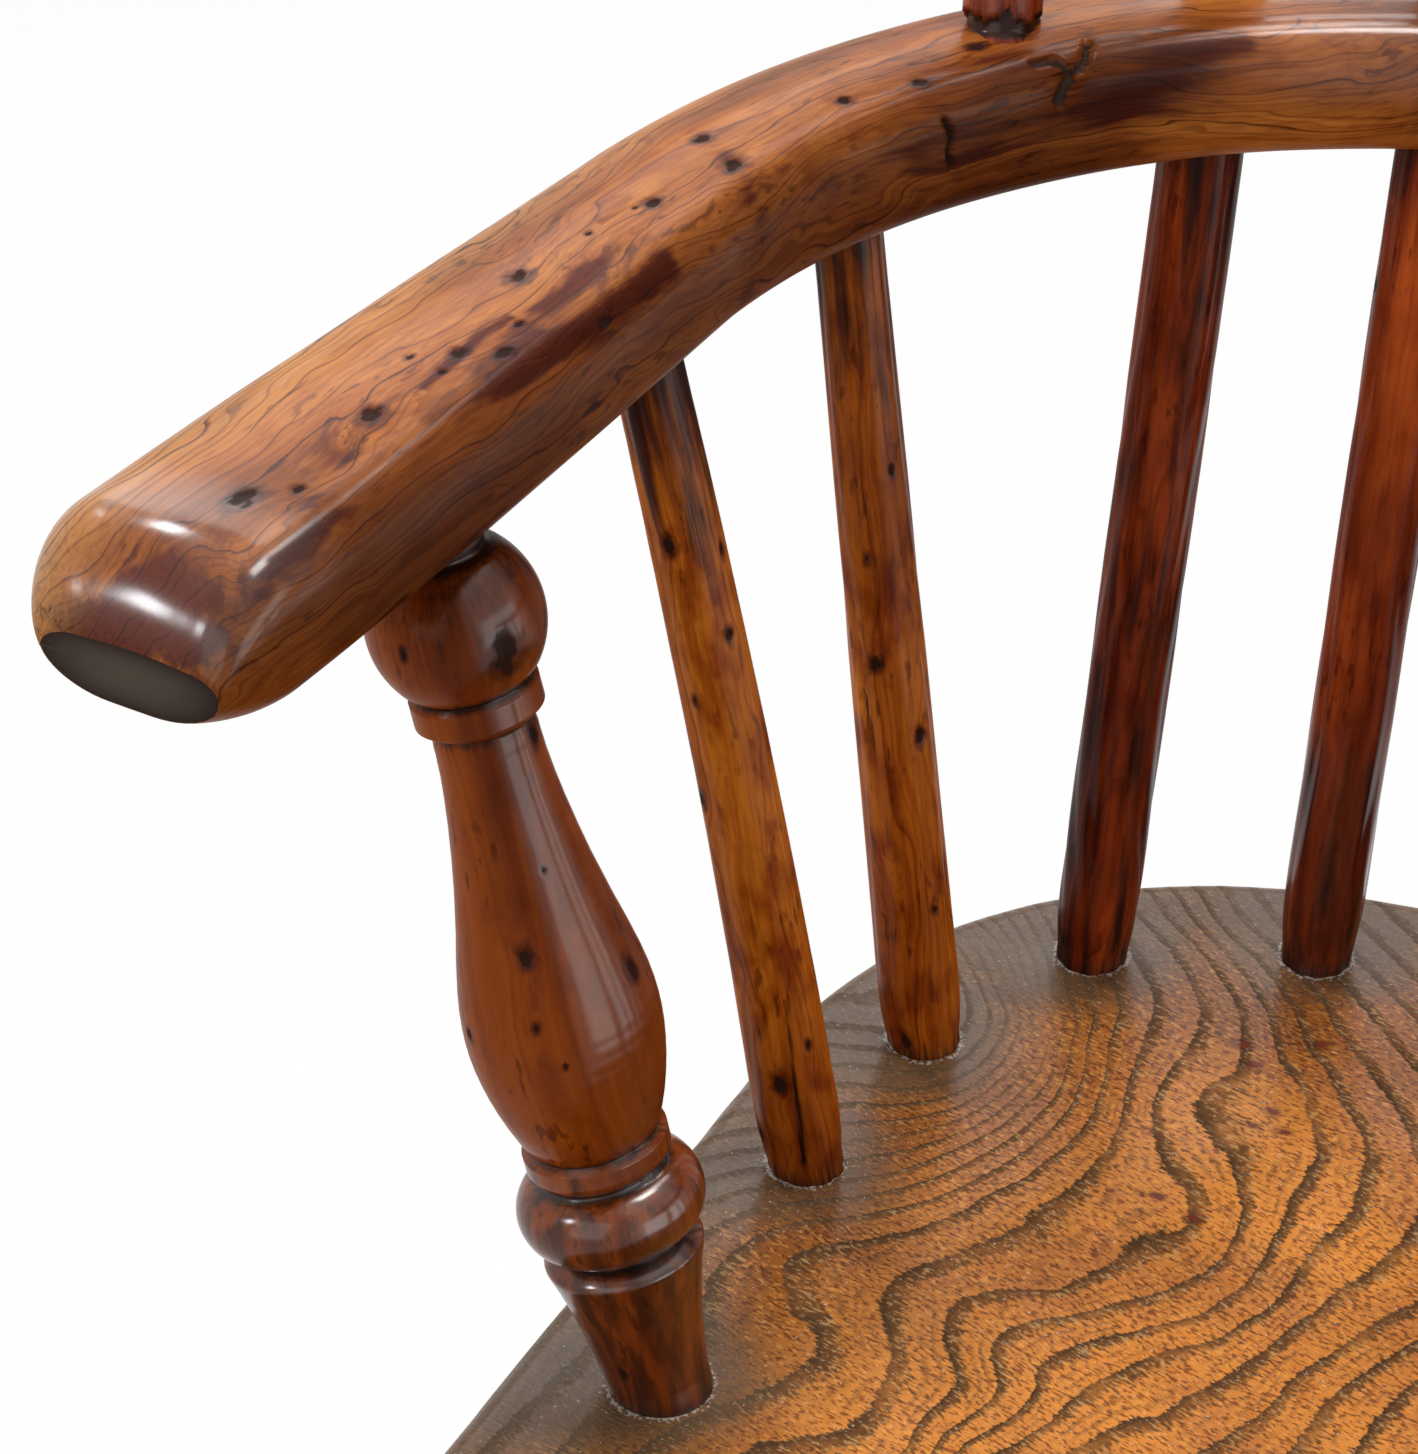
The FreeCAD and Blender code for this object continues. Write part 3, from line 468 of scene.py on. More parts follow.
# black of old wax, also laid on as the painted shadow under the bow
OLD_WAX_AND_SHADOW = colour(24, 16, 12)
ASH = colour(150, 139, 122)
DASH_SHARE = 0.6
HALO_SHARE = 0.8
CORE_SHARE = 0.9
OLD_WAX_AND_SHADOW_SHARE = 0.9
STAIN_RAGGED = 2.0
GRIME_AND_SHADOW_RAGGED = 0.8
KNOT_ROUGHER = 0.2
KNOT_UNWAXED = 0.8                 # a knot's core takes hardly any wax
RING_RELIEF = 0.25                 # of a knot's depth
FIBRE_RELIEF = 0.2


def mark(tree, name, output="Fac"):
    """A value that the mesh carries from point to point."""
    return add(tree, "Attribute", attribute_name=name).outputs[output]


def laid(tree, wood, mask, share, over, mode="MIX"):
    """Wood with a colour laid over it, as far as a mask and a share say."""
    return tint(tree, times(tree, mask, share), wood, over, mode)


def waxed(tree, wood, rough, height, relief, bump, polish, wax_roughness):
    """The shader of wood with a relief under a coat of wax."""
    normal = add(tree, "Bump", invert=True, Strength=bump, Distance=relief, Height=height).outputs[0]
    shader = add(tree, "BsdfPrincipled", Base_Color=wood, Roughness=rough, Normal=normal,
                 Specular_IOR_Level=BARE_MIRROR, Coat_Weight=polish, Coat_Roughness=wax_roughness)
    add(tree, "OutputMaterial", Surface=shader.outputs[0])


def yew(name, pale, middle, deep, heart_and_shade, gap, wander, lines, fibre, burr, smoke, knots):
    """A waxed yew finish: its colours, the rings' gap and wander, and how strong each kind of mark is."""
    material = bpy.data.materials.new(name)
    tree = bare_tree(material)
    grain = mark(tree, "grain", "Vector")
    rings = placed(tree, GROWTH_RINGS, Grain=grain, Gap=gap, Wander=wander)
    knot = placed(tree, PIN_KNOTS, Grain=grain, Knot=mark(tree, "knot"), Share=knots)
    wood = tint(tree, ease(tree, rings["Tone"], 0.38, 0.50), deep, middle)
    wood = tint(tree, ease(tree, rings["Tone"], 0.48, 0.64), wood, pale)
    wood = laid(tree, wood, rings["Burr"], burr, BURR_SHADE, "MULTIPLY")
    wood = laid(tree, wood, rings["Smoke"], smoke, SMOKE_AND_PAINTED_SHADE, "MULTIPLY")
    streak = grain_noise(tree, grain, along=0.12, scale=340, detail=4.0)
    stained = ragged(tree, mark(tree, "heart_and_shade"), streak, STAIN_RAGGED)
    wood = tint(tree, ease(tree, stained, 0.2, 0.85), wood, heart_and_shade)
    wood = tint(tree, mark(tree, "sap"), wood, SAPWOOD)
    # painted shade on the arm's inner face, and the traced smoky wood
    wood = tint(tree, mark(tree, "painted_shade_and_smoke"), wood, SMOKE_AND_PAINTED_SHADE, "MULTIPLY")
    wood = laid(tree, wood, rings["Line"], lines, LINE_SHADE, "MULTIPLY")
    wood = laid(tree, wood, rings["Dash"], DASH_SHARE, LINE_SHADE, "MULTIPLY")
    thread = times(tree, ease(tree, rings["Fibre"], 0.42, 0.72), fibre)
    wood = tint(tree, thread, wood, FIBRE_SHADE, "MULTIPLY")
    wood = laid(tree, wood, knot["Halo"], HALO_SHARE, HALO_SHADE, "MULTIPLY")
    wood = laid(tree, wood, knot["Core"], CORE_SHARE, KNOT_BLACK)
    # grime, and the painted shadow below the bow
    dirt_and_shadow = ragged(tree, mark(tree, "grime_and_shadow"), rings["Fibre"], GRIME_AND_SHADOW_RAGGED)
    wood = laid(tree, wood, ease(tree, dirt_and_shadow, 0.2, 0.9), OLD_WAX_AND_SHADOW_SHARE, OLD_WAX_AND_SHADOW)
    wood = tint(tree, mark(tree, "dust"), wood, ASH)
    rough = placed(tree, WAX_POLISH, Grain=grain, Glossy=YEW_GLOSSY, Dull=YEW_DULL)["Roughness"]
    rough = raised(tree, knot["Core"], KNOT_ROUGHER, rough)
    height = raised(tree, thread, FIBRE_RELIEF, times(tree, rings["Line"], RING_RELIEF))
    height = calc(tree, "ADD", height, knot["Core"])
    sound = raised(tree, knot["Core"], -KNOT_UNWAXED, 1.0)
    polish = times(tree, mark(tree, "wax"), sound)
    waxed(tree, wood, rough, height, YEW_RELIEF, YEW_BUMP, polish, WAX_ROUGHNESS)
    return material


ARM_YEW = yew(
    "arm_yew", colour(177, 108, 47), colour(158, 89, 34), colour(126, 66, 24), colour(88, 34, 15),
    gap=1.0 * MM, wander=12 * MM, lines=0.95, fibre=0.5, burr=0.4, smoke=0.5, knots=0.02)
STICK_YEW = yew(
    "stick_yew", colour(192, 110, 28), colour(168, 88, 19), colour(140, 67, 15), colour(60, 22, 9),
    gap=1.4 * MM, wander=12 * MM, lines=0.5, fibre=0.55, burr=0.9, smoke=0.4, knots=0.08)
TURNED_YEW = yew(
    "turned_yew", colour(134, 63, 11), colour(120, 54, 10), colour(102, 43, 9), colour(62, 24, 9),
    gap=1.6 * MM, wander=6 * MM, lines=0.12, fibre=0.2, burr=0.45, smoke=0.3, knots=0.03)
DARK_YEW = yew(
    "dark_yew", colour(178, 80, 28), colour(134, 53, 18), colour(90, 29, 12), colour(44, 14, 8),
    gap=1.0 * MM, wander=6 * MM, lines=0.4, fibre=0.5, burr=0.5, smoke=0.4, knots=0.02)
print("finishes:", [material.name for material in (ARM_YEW, STICK_YEW, TURNED_YEW, DARK_YEW)])

# %% [markdown]
# ## Skins
#
# All pieces are long or round, so all of them can be built as rows of points: each row is a ring round the
# piece, and quads join one ring to the next. A smooth noise moves the points in or out by parts of a
# millimetre, as a drawknife or a worn edge would.

# %% Skin helpers
TINY = 1e-12
HASH = np.array([73856093, 19349663, 83492791])
HASH_SEED = 2654435761
HASH_SPREAD = 1274126177
HASH_SHIFTS = (13, 16)
HASH_MASK = 0xFFFFFF
CAP_SHARES = np.array([0.97, 0.85, 0.7, 0.5, 0.3, 0.1])      # rings that close an end


def lattice(cells, seed):
    """Repeatable random numbers from 0 to 1, one for each whole-number cell."""
    mixed = np.bitwise_xor.reduce(cells * HASH, axis=-1) ^ (seed * HASH_SEED)
    mixed = (mixed ^ (mixed >> HASH_SHIFTS[0])) * HASH_SPREAD
    return ((mixed ^ (mixed >> HASH_SHIFTS[1])) & HASH_MASK) / HASH_MASK


def eased(share):
    """A share from 0 to 1 with a soft start and a soft end."""
    return share * share * (3 - 2 * share)


def soft_noise(points, size, seed):
    """Smooth noise from -1 to 1, with lumps about as wide as size."""
    place = points / np.asarray(size)
    corner = np.floor(place).astype(np.int64)
    easing = eased(place - corner)
    total = 0
    for step in np.ndindex(2, 2, 2):
        weight = np.prod(np.where(step, easing, 1 - easing), axis=-1)
        total = total + weight * lattice(corner + np.array(step), seed)
    return total * 2 - 1


def outward(rows):
    """Unit normals of a skin, pointing out of it, and whether its rings run the right way round."""
    along = np.gradient(rows, axis=0)
    around = np.roll(rows, -1, axis=1) - np.roll(rows, 1, axis=1)
    normals = np.cross(around, along)
    normals /= np.linalg.norm(normals, axis=-1, keepdims=True) + TINY
    facing = ((rows - rows.mean(axis=1, keepdims=True)) * normals).sum()
    return normals * np.sign(facing), facing > 0


def capped(values):
    """Carries rows of points, or a field of them, on to the middle of both ends."""
    middles = values[0].mean(axis=0), values[-1].mean(axis=0)
    first = [middles[0] + (values[0] - middles[0]) * share for share in CAP_SHARES[::-1]]
    final = [middles[1] + (values[-1] - middles[1]) * share for share in CAP_SHARES]
    return np.concatenate([first, values, final])


def add_piece(node, finish, rows, fields):
    """Makes a closed mesh from rows of points, with its fields, in place of a CAD node."""
    if not outward(rows)[1]:
        rows = rows[:, ::-1]
        fields = {name: values[:, ::-1] for name, values in fields.items()}
    ring_count, point_count = rows.shape[:2]
    index = np.arange(ring_count * point_count).reshape(ring_count, point_count)
    beside = np.roll(index, -1, axis=1)
    quads = np.stack([index[:-1], beside[:-1], beside[1:], index[1:]], axis=-1).reshape(-1)
    corners = np.concatenate([quads, index[0][::-1], index[-1]])
    starts = np.concatenate([np.arange(0, len(quads), 4), [len(quads), len(quads) + point_count]])
    mesh = bpy.data.meshes.new(node + "_skin")
    mesh.vertices.add(index.size)
    mesh.vertices.foreach_set("co", rows.astype(np.float32).reshape(-1))
    mesh.loops.add(len(corners))
    mesh.loops.foreach_set("vertex_index", corners.astype(np.int32))
    mesh.polygons.add(len(starts))
    mesh.polygons.foreach_set("loop_start", starts.astype(np.int32))
    mesh.update(calc_edges=True)
    mesh.shade_smooth()
    for name, values in fields.items():
        kind, key = ("FLOAT_VECTOR", "vector") if values.ndim == 3 else ("FLOAT", "value")
        field = mesh.attributes.new(name, kind, "POINT")
        field.data.foreach_set(key, values.astype(np.float32).reshape(-1))
    mesh.materials.append(finish)
    piece = bpy.data.objects.new(node + "_skin", mesh)
    bpy.context.scene.collection.objects.link(piece)
    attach(piece, "root")
    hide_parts(node)
    print(piece.name, len(mesh.vertices), "points")


print("rings that close an end:", len(CAP_SHARES))

# %% [markdown]
# Marks on the wood are fields too. A knot is a spot with a radius, and a stain or a check is a stroke along a
# few spots. Each gives every point of the skin its closeness.

# %% Mark helpers
KNOT_SHAPE = np.array([KNOT_LENGTH, 1.0, 1.0])
NO_KNOT = -1.0


def fade(gap, width):
    """1 where there is no gap, fading out over a width."""
    return np.exp(-((gap / width) ** 2))


def soft_step(values, start, end):
    """A soft step for arrays: 0 at start, 1 at end."""
    return eased(np.clip((values - start) / (end - start), 0, 1))


def knot_field(rows, grain, spots, radii):
    """Closeness to the nearest knot: 1 in its middle, 0 at its edge, -1 far off."""
    nearest = np.full(rows.shape[:2], NO_KNOT)
    for spot, radius in zip(spots, radii):
        row, column = np.unravel_index(np.argmin(np.linalg.norm(rows - spot, axis=-1)), rows.shape[:2])
        gaps = np.linalg.norm((grain - grain[row, column]) * KNOT_SHAPE, axis=-1)
        nearest = np.maximum(nearest, 1 - gaps / radius)
    return nearest


def stroke_field(rows, line, width):
    """1 along a line of spots, fading out over a width."""
    nearest = np.full(rows.shape[:2], np.inf)
    for start, end in zip(line[:-1], line[1:]):
        way = end - start
        share = np.clip((rows - start) @ way / (way @ way), 0, 1)
        nearest = np.minimum(nearest, np.linalg.norm(rows - start - share[..., None] * way, axis=-1))
    return fade(nearest, width)


def strokes(rows, surface, marks, widen=1.0):
    """The strongest of several strokes, each a width in mm, a strength and pixels of the photograph."""
    field = np.zeros(rows.shape[:2])
    for width, strength, pixels in marks:
        stroke = stroke_field(rows, photo_spots(surface, pixels), widen * width * MM)
        field = np.maximum(field, strength * stroke)
    return field


print("a stroke at half its width keeps", round(fade(0.5, 1.0), 2))

# %% [markdown]
# ## The arm bow
#
# The bow is one piece of yew, steamed and bent to a U. Its section has rounded corners and a low crown, it
# widens along the arms, and the ends roll over to a blunt face. It could be a curve with a bevel object, but
# that can't widen or roll one corner more than another, so the section is worked out row by row.

# %% Arm bow: path and section
BOW_RADIUS = 137.5 * MM            # centre line of the bend
BOW_SPLAY = 8.2                    # degrees that each arm opens
BOW_ARM_LENGTH = 133.6 * MM
BOW_BACK_WIDTH = 32.6 * MM
BOW_ARM_WIDTH = 39.6 * MM
BOW_CROWN = 1.2 * MM
BOW_CORNERS = [(1, 0), (1, 1), (-1, 1), (-1, 0)]   # under outer, top outer, top inner, under inner
BOW_ROUNDS = [10 * MM, 10 * MM, 7 * MM, 6 * MM]
BOW_ROLL = 16 * MM
ROLL_TURN = math.radians(68)       # how steep the roll ends
ROLL_ROUNDS = [5 * MM, 0.0, 0.0, 9 * MM]           # how much rounder the corners get in the roll
ROLL_TOP, ROLL_UNDER, ROLL_OUTER, ROLL_INNER = 12.5 * MM, 2.2 * MM, 7.5 * MM, 2.5 * MM
ROLL_ROWS = 22
BOW_STEP = 0.5 * MM
CORNER_POINTS = 14
FACE_POINTS = [20, 9, 24, 9]       # under, outer, top, inner
TOP_FACE = 2

bow_low, bow_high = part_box("arm_bow")
BOW_UNDERSIDE = bow_low.z
BOW_THICKNESS = bow_high.z - bow_low.z
BEND_MIDDLE = np.array([0, bow_high.y - BOW_BACK_WIDTH / 2 - BOW_RADIUS, 0])
BEND_RUN = BOW_RADIUS * math.radians(90 - BOW_SPLAY)
UP = np.array([0.0, 0.0, 1.0])


def circle(angles):
    """Points of a circle of radius 1."""
    return np.stack([np.cos(angles), np.sin(angles)], axis=1)


def bow_place(run):
    """Centre line and outward direction at a run from the bow's middle."""
    side = math.copysign(1.0, run)
    turn = min(abs(run), BEND_RUN) / BOW_RADIUS
    out = np.array([side * math.sin(turn), math.cos(turn), 0])
    forward = np.array([side * math.cos(turn), -math.sin(turn), 0])
    return BEND_MIDDLE + out * BOW_RADIUS + forward * max(0.0, abs(run) - BEND_RUN), out


def bow_section(run, roll):
    """Points round the bow as pairs: across from its centre line, up from its underside."""
    share = max(0.0, abs(run) - BEND_RUN) / BOW_ARM_LENGTH
    half = (BOW_BACK_WIDTH + (BOW_ARM_WIDTH - BOW_BACK_WIDTH) * math.sin(share * math.pi / 2)) / 2
    shoulder = BOW_THICKNESS - BOW_CROWN
    rounds = []
    for index, ((side, top), radius) in enumerate(zip(BOW_CORNERS, BOW_ROUNDS)):
        radius += roll * ROLL_ROUNDS[index]
        angles = np.radians(np.linspace(90 * index - 90, 90 * index, CORNER_POINTS))
        middle = np.array([side * (half - radius), shoulder - radius if top else radius])
        rounds.append(middle + radius * circle(angles))
    outline = []
    for index, points in enumerate(rounds):
        before = rounds[index - 1][-1]
        shares = np.linspace(0, 1, FACE_POINTS[index] + 2)[1:-1, None]
        face = before + (points[0] - before) * shares
        if index == TOP_FACE:
            face[:, 1] += BOW_CROWN * np.sin(math.pi * shares[:, 0])
        outline += [face, points]
    outline = np.concatenate(outline)
    narrowing = 1 - roll * (ROLL_OUTER + ROLL_INNER) / (2 * half)
    across = (outline[:, 0] + half) * narrowing + roll * ROLL_INNER - half
    thinning = 1 - roll * (ROLL_TOP + ROLL_UNDER) / BOW_THICKNESS
    up = outline[:, 1] * thinning + roll * ROLL_UNDER
    return np.stack([across, up], axis=1)


plain_run = BEND_RUN + BOW_ARM_LENGTH - BOW_ROLL
stations = [(run, 0.0) for run in np.linspace(0, plain_run, int(plain_run / BOW_STEP))]
for turn in np.linspace(0, ROLL_TURN, ROLL_ROWS)[1:]:
    stations.append((plain_run + BOW_ROLL * math.sin(turn) / math.sin(ROLL_TURN),
                     (1 - math.cos(turn)) / (1 - math.cos(ROLL_TURN))))
stations = [(-run, roll) for run, roll in stations[:0:-1]] + stations
bow_rows, bow_grain = [], []
for run, roll in stations:
    centre, out = bow_place(run)
    section = bow_section(run, roll)
    bow_rows.append(centre + section[:, :1] * out + (BOW_UNDERSIDE + section[:, 1:]) * UP)
    bow_grain.append(np.insert(section, 0, run, axis=1))
bow_rows, bow_grain = np.array(bow_rows), np.array(bow_grain)
bow_log = bow_grain.copy()
print("bow:", bow_rows.shape, "run", round(2 * (BEND_RUN + BOW_ARM_LENGTH) / MM), "mm")

# %% [markdown]
# The visible arm has marks that make it this arm: a row of knots on the top, dark red stains along the inner
# ridge, swirls where the bend starts, an old hole with a crack, and browner wood round it. Each is traced
# once on the photograph, in its pixels. Sizes are in mm.

# %% Arm bow: marks
# A knot is a pixel and a radius. A stroke is a width, a strength and the pixels along it.
# A swirl is a pixel, a reach and how far it pushes the grain aside.
BOW_KNOTS = [((243, 497), 2.4), ((296, 488), 1.0), ((370, 413), 2.0), ((457, 352), 1.5), ((505, 354), 1.4),
             ((410, 357), 0.8), ((515, 277), 1.8), ((605, 325), 1.0), ((703, 137), 1.7), ((735, 165), 2.0),
             ((655, 202), 1.5), ((845, 102), 1.3), ((919, 83), 1.3), ((978, 47), 1.4),
             ((520, 325), 0.9), ((588, 232), 0.7), ((636, 208), 0.6), ((440, 372), 0.6)]
BOW_STAINS = [
    (4.5, 0.55, [(262, 580), (300, 545), (320, 510)]),
    (3.4, 0.85, [(425, 415), (503, 374), (546, 346), (596, 328), (639, 290), (667, 264)]),
    (2.6, 0.75, [(480, 372), (546, 312), (596, 268), (646, 238)]),
    (5.0, 0.5, [(345, 455), (400, 425), (470, 392)]),
    (3.2, 0.5, [(750, 195), (762, 255), (746, 300)]),
    (2.2, 0.4, [(690, 130), (722, 152), (745, 180)]),
    (2.5, 0.45, [(945, 110), (952, 150), (960, 185)]),
    (8.0, 0.6, [(930, 150), (1040, 122), (1110, 104), (1170, 78)]),
    (1.0, 0.8, [(425, 388), (450, 365), (480, 335), (510, 318)]),
    (0.8, 0.8, [(600, 222), (640, 200), (665, 188)]),
    (4.5, 0.5, [(1000, 60), (1060, 80), (1130, 95)]),
    (3.5, 0.6, [(1175, 75), (1210, 50), (1240, 40)]),
    (2.5, 0.4, [(830, 100), (880, 95), (930, 80)]),
    (3.4, 1.1, [(62, 626), (110, 608), (150, 588), (172, 572)]),
    (4.2, 1.2, [(105, 630), (150, 615), (192, 598)]),
    (4.2, 1.2, [(95, 640), (160, 640), (205, 645)]),
]
BOW_SWIRLS = [((752, 225), 18, 8.0), ((952, 145), 14, 6.0), ((1068, 85), 16, 7.0), ((370, 413), 10, 4.0),
              ((285, 540), 12, 6.0), ((480, 353), 12, 4.0), ((1210, 55), 16, 7.0), ((850, 110), 12, 5.0),
              ((620, 240), 14, 5.0), ((1330, 80), 18, 6.0)]
BOW_CHECKS = [(0.8, 0.9, [(946, 120), (953, 138), (949, 152), (951, 165)]),
              (0.4, 0.4, [(757, 215), (763, 240), (761, 262)])]
BOW_SMOKE = [(9.0, 0.9, [(950, 130), (1040, 105), (1110, 90), (1180, 60)]),
             (6.0, 0.7, [(905, 130), (960, 165), (1030, 140)])]
BOW_HOLE = [(0.8, 1.0, [(1088, 44), (1084, 62), (1074, 74)]),
            (1.5, 1.0, [(1072, 78), (1066, 90), (1062, 102)]),
            (0.7, 1.0, [(1034, 63), (1056, 60), (1072, 74)])]
BOW_KNOT_SCALE = 0.8
RIDGE_PLACE = np.array([-12 * MM, 21 * MM])        # across and up
RIDGE_WIDTH = 9 * MM
RIDGE_HEART = 0.12
STAIN_UNEVEN = 0.6
STAIN_LUMP = (26 * MM, 4 * MM, 4 * MM)

bow_surface = surface_of("arm_bow")
bow_knot_spots = photo_spots(bow_surface, [pixel for pixel, size in BOW_KNOTS])
bow_knot_sizes = [BOW_KNOT_SCALE * size * MM for pixel, size in BOW_KNOTS]
bow_knots = knot_field(bow_rows, bow_grain, bow_knot_spots, bow_knot_sizes)
ridge = RIDGE_HEART * fade(np.linalg.norm(bow_log[..., 1:] - RIDGE_PLACE, axis=-1), RIDGE_WIDTH)
bow_heart = np.maximum(ridge, strokes(bow_rows, bow_surface, BOW_STAINS))
bow_heart = bow_heart * (1 + STAIN_UNEVEN * soft_noise(bow_log, STAIN_LUMP, seed=2))
bow_checks = strokes(bow_rows, bow_surface, BOW_CHECKS)
for pixel, reach, push in BOW_SWIRLS:
    spot = photo_spots(bow_surface, [pixel])[0]
    share = fade(np.linalg.norm(bow_rows - spot, axis=-1), reach * MM)
    bow_grain[..., 2] += share * push * MM
    bow_grain[..., 1] -= share * push * MM
print("bow marks:", len(bow_knot_spots), "knots,", len(BOW_STAINS), "stains,", len(BOW_SWIRLS), "swirls")

# %% [markdown]
# Hands have changed the bow unevenly. The back and the arm's ends are rubbed to a gloss, and the outer edge
# of the arms is pale sapwood. The inner face of the arms is coloured darker and browner, as painted shade.
# These follow from the place along and across the bow, so they need no tracing. Only the smoky wood at the
# back is traced.

# %% Arm bow: polish and tone
TOP_WAX = 0.24                     # hands polish the top
BACK_WAX = 1.0
BACK_SPAN = (105 * MM, 60 * MM)    # along the bow, where the back's polish starts and where it is full
END_WAX = 0.7
END_WAX_SPAN = (34 * MM, 16 * MM)  # before the arm's end
WAX_RISE = (8 * MM, 16 * MM)       # above the underside
STAIN_DULL = 0.8                   # stained wood takes less polish
SAP_DEPTH = (2 * MM, 17 * MM)      # across
SAP_SPAN = (120 * MM, 190 * MM)
# painted shade: the inner face of the arms is coloured darker, in place of the shade on it
INNER_PAINTED_SHADE = 0.75                 # the arm's inner face is browner than its top
INNER_DEPTH = (-10 * MM, -17 * MM)
INNER_SPAN = (88 * MM, 108 * MM)

bow_run, bow_across, bow_up = np.abs(bow_log[..., 0]), bow_log[..., 1], bow_log[..., 2]
from_end = BEND_RUN + BOW_ARM_LENGTH - bow_run
bow_wax = TOP_WAX + (BACK_WAX - TOP_WAX) * soft_step(bow_run, *BACK_SPAN)
bow_wax = bow_wax * (1 - STAIN_DULL * np.clip(bow_heart, 0, 1))
bow_wax = np.maximum(bow_wax, END_WAX * soft_step(from_end, *END_WAX_SPAN))
bow_wax = bow_wax * soft_step(bow_up, *WAX_RISE)
bow_sap = soft_step(bow_across, *SAP_DEPTH) * soft_step(bow_run, *SAP_SPAN)
# painted shade on the inner face, then the traced smoky wood
bow_painted_shade_and_smoke = INNER_PAINTED_SHADE * (soft_step(bow_across, *INNER_DEPTH) * soft_step(bow_run, *INNER_SPAN))
bow_painted_shade_and_smoke = np.maximum(bow_painted_shade_and_smoke, strokes(bow_rows, bow_surface, BOW_SMOKE))
print("bow polish:", bow_wax.min().round(2), "to", bow_wax.max().round(2))

# %% [markdown]
# The mesh itself takes the wear: slow unevenness from the drawknife, shallow hollows at the knots and checks,
# and the hole. The end grain drinks dirt, so both caps are dark and dusty.

# %% Arm bow: piece
BOW_UNEVEN = 0.3 * MM
BOW_LUMPS = (60 * MM, 22 * MM, 22 * MM)
BOW_RIPPLES = (20 * MM, 9 * MM, 9 * MM)
RIPPLE_SHARE = 0.3
KNOT_HOLLOW = 0.2 * MM
KNOT_DIP = (0.0, 0.6)              # closeness at which a hollow starts and at which it is full
CHECK_DEPTH = 0.8 * MM
CHECK_DIP = (0.3, 0.8)
HOLE_DEPTH = 1.2 * MM
HOLE_RAGGED = 0.35
HOLE_LUMP = 1.6 * MM
HOLE_RIM = 2.5                     # times its width
HOLE_DUST = 0.06
DUST_BED = (0.8, 1.0)              # dust lies only deep in the hole
SAP_SHARE = 0.6
END_MARKS = {"heart_and_shade": 2.0, "grime_and_shadow": 2.0, "wax": 0.1, "sap": 0.0}
END_DUST = 0.16

normals = outward(bow_rows)[0]
uneven = soft_noise(bow_log, BOW_LUMPS, seed=3) + RIPPLE_SHARE * soft_noise(bow_log, BOW_RIPPLES, seed=4)
hole = strokes(bow_rows, bow_surface, BOW_HOLE)
hole = soft_step(hole + HOLE_RAGGED * soft_noise(bow_rows, HOLE_LUMP, seed=5), *CHECK_DIP)
rim = strokes(bow_rows, bow_surface, BOW_HOLE, widen=HOLE_RIM)
inset = KNOT_HOLLOW * soft_step(bow_knots, *KNOT_DIP) + CHECK_DEPTH * soft_step(bow_checks, *CHECK_DIP)
bow_rows = bow_rows + normals * (BOW_UNEVEN * uneven - inset - HOLE_DEPTH * hole)[..., None]
bow_fields = {
    "grain": bow_grain,
    "knot": bow_knots,
    "heart_and_shade": bow_heart,
    "painted_shade_and_smoke": bow_painted_shade_and_smoke,
    "dust": HOLE_DUST * soft_step(hole, *DUST_BED),
    "wax": bow_wax * (1 - np.maximum(rim, bow_checks)),
    "sap": SAP_SHARE * bow_sap,
    "grime_and_shadow": np.maximum(bow_checks, hole)}
bow_fields = {name: capped(values) for name, values in bow_fields.items()}
for end in (slice(0, len(CAP_SHARES)), slice(-len(CAP_SHARES), None)):
    for name, value in END_MARKS.items():
        bow_fields[name][end] = value
bow_fields["dust"][:len(CAP_SHARES)] = END_DUST * (1 - CAP_SHARES[::-1, None] ** 2)
bow_fields["dust"][-len(CAP_SHARES):] = END_DUST * (1 - CAP_SHARES[:, None] ** 2)
add_piece("arm_bow", ARM_YEW, capped(bow_rows), bow_fields)

# %% [markdown]
# ## The hoop
#
# The hoop is a bent rod of darker yew that leans back from the arm bow. Its foot in the photograph is chipped
# all round, black and ragged where it enters the bow. It is built like the bow, as rings along a path of two
# splayed legs and an arch.

# %% Hoop: path
HOOP_FOOT_RUN = 118.6 * MM         # along the bow's centre line
HOOP_HEIGHT = 239 * MM             # bow's top to the crown, along the lean
HOOP_LEAN = math.radians(20)
HOOP_SPLAY = math.radians(5)
HOOP_TENON = 17 * MM
HOOP_STEP = 0.8 * MM

hoop_foot = bow_place(HOOP_FOOT_RUN)[0]
spread = hoop_foot[0]
slope = math.tan(HOOP_SPLAY)
arch = (spread + HOOP_HEIGHT * slope) / (1 / math.cos(HOOP_SPLAY) + slope)
arch_rise = HOOP_HEIGHT - arch
leg_rises = np.arange(-HOOP_TENON, arch_rise - arch * math.sin(HOOP_SPLAY), HOOP_STEP)
legs = np.stack([spread + leg_rises * slope, leg_rises], axis=1)
turns = np.arange(-HOOP_SPLAY, math.pi / 2, HOOP_STEP / arch)
half_path = np.concatenate([legs, np.array([0, arch_rise]) + arch * circle(turns)])
hoop_path = np.concatenate([half_path, [(0, HOOP_HEIGHT)], half_path[::-1] * (-1, 1)])
lean_up = np.array([0, math.sin(HOOP_LEAN), math.cos(HOOP_LEAN)])
lean_square = np.array([0, math.cos(HOOP_LEAN), -math.sin(HOOP_LEAN)])
foot_level = np.array([0, hoop_foot[1], BOW_UNDERSIDE + BOW_THICKNESS])
hoop_centres = foot_level + hoop_path[:, :1] * np.array([1.0, 0, 0]) + hoop_path[:, 1:] * lean_up
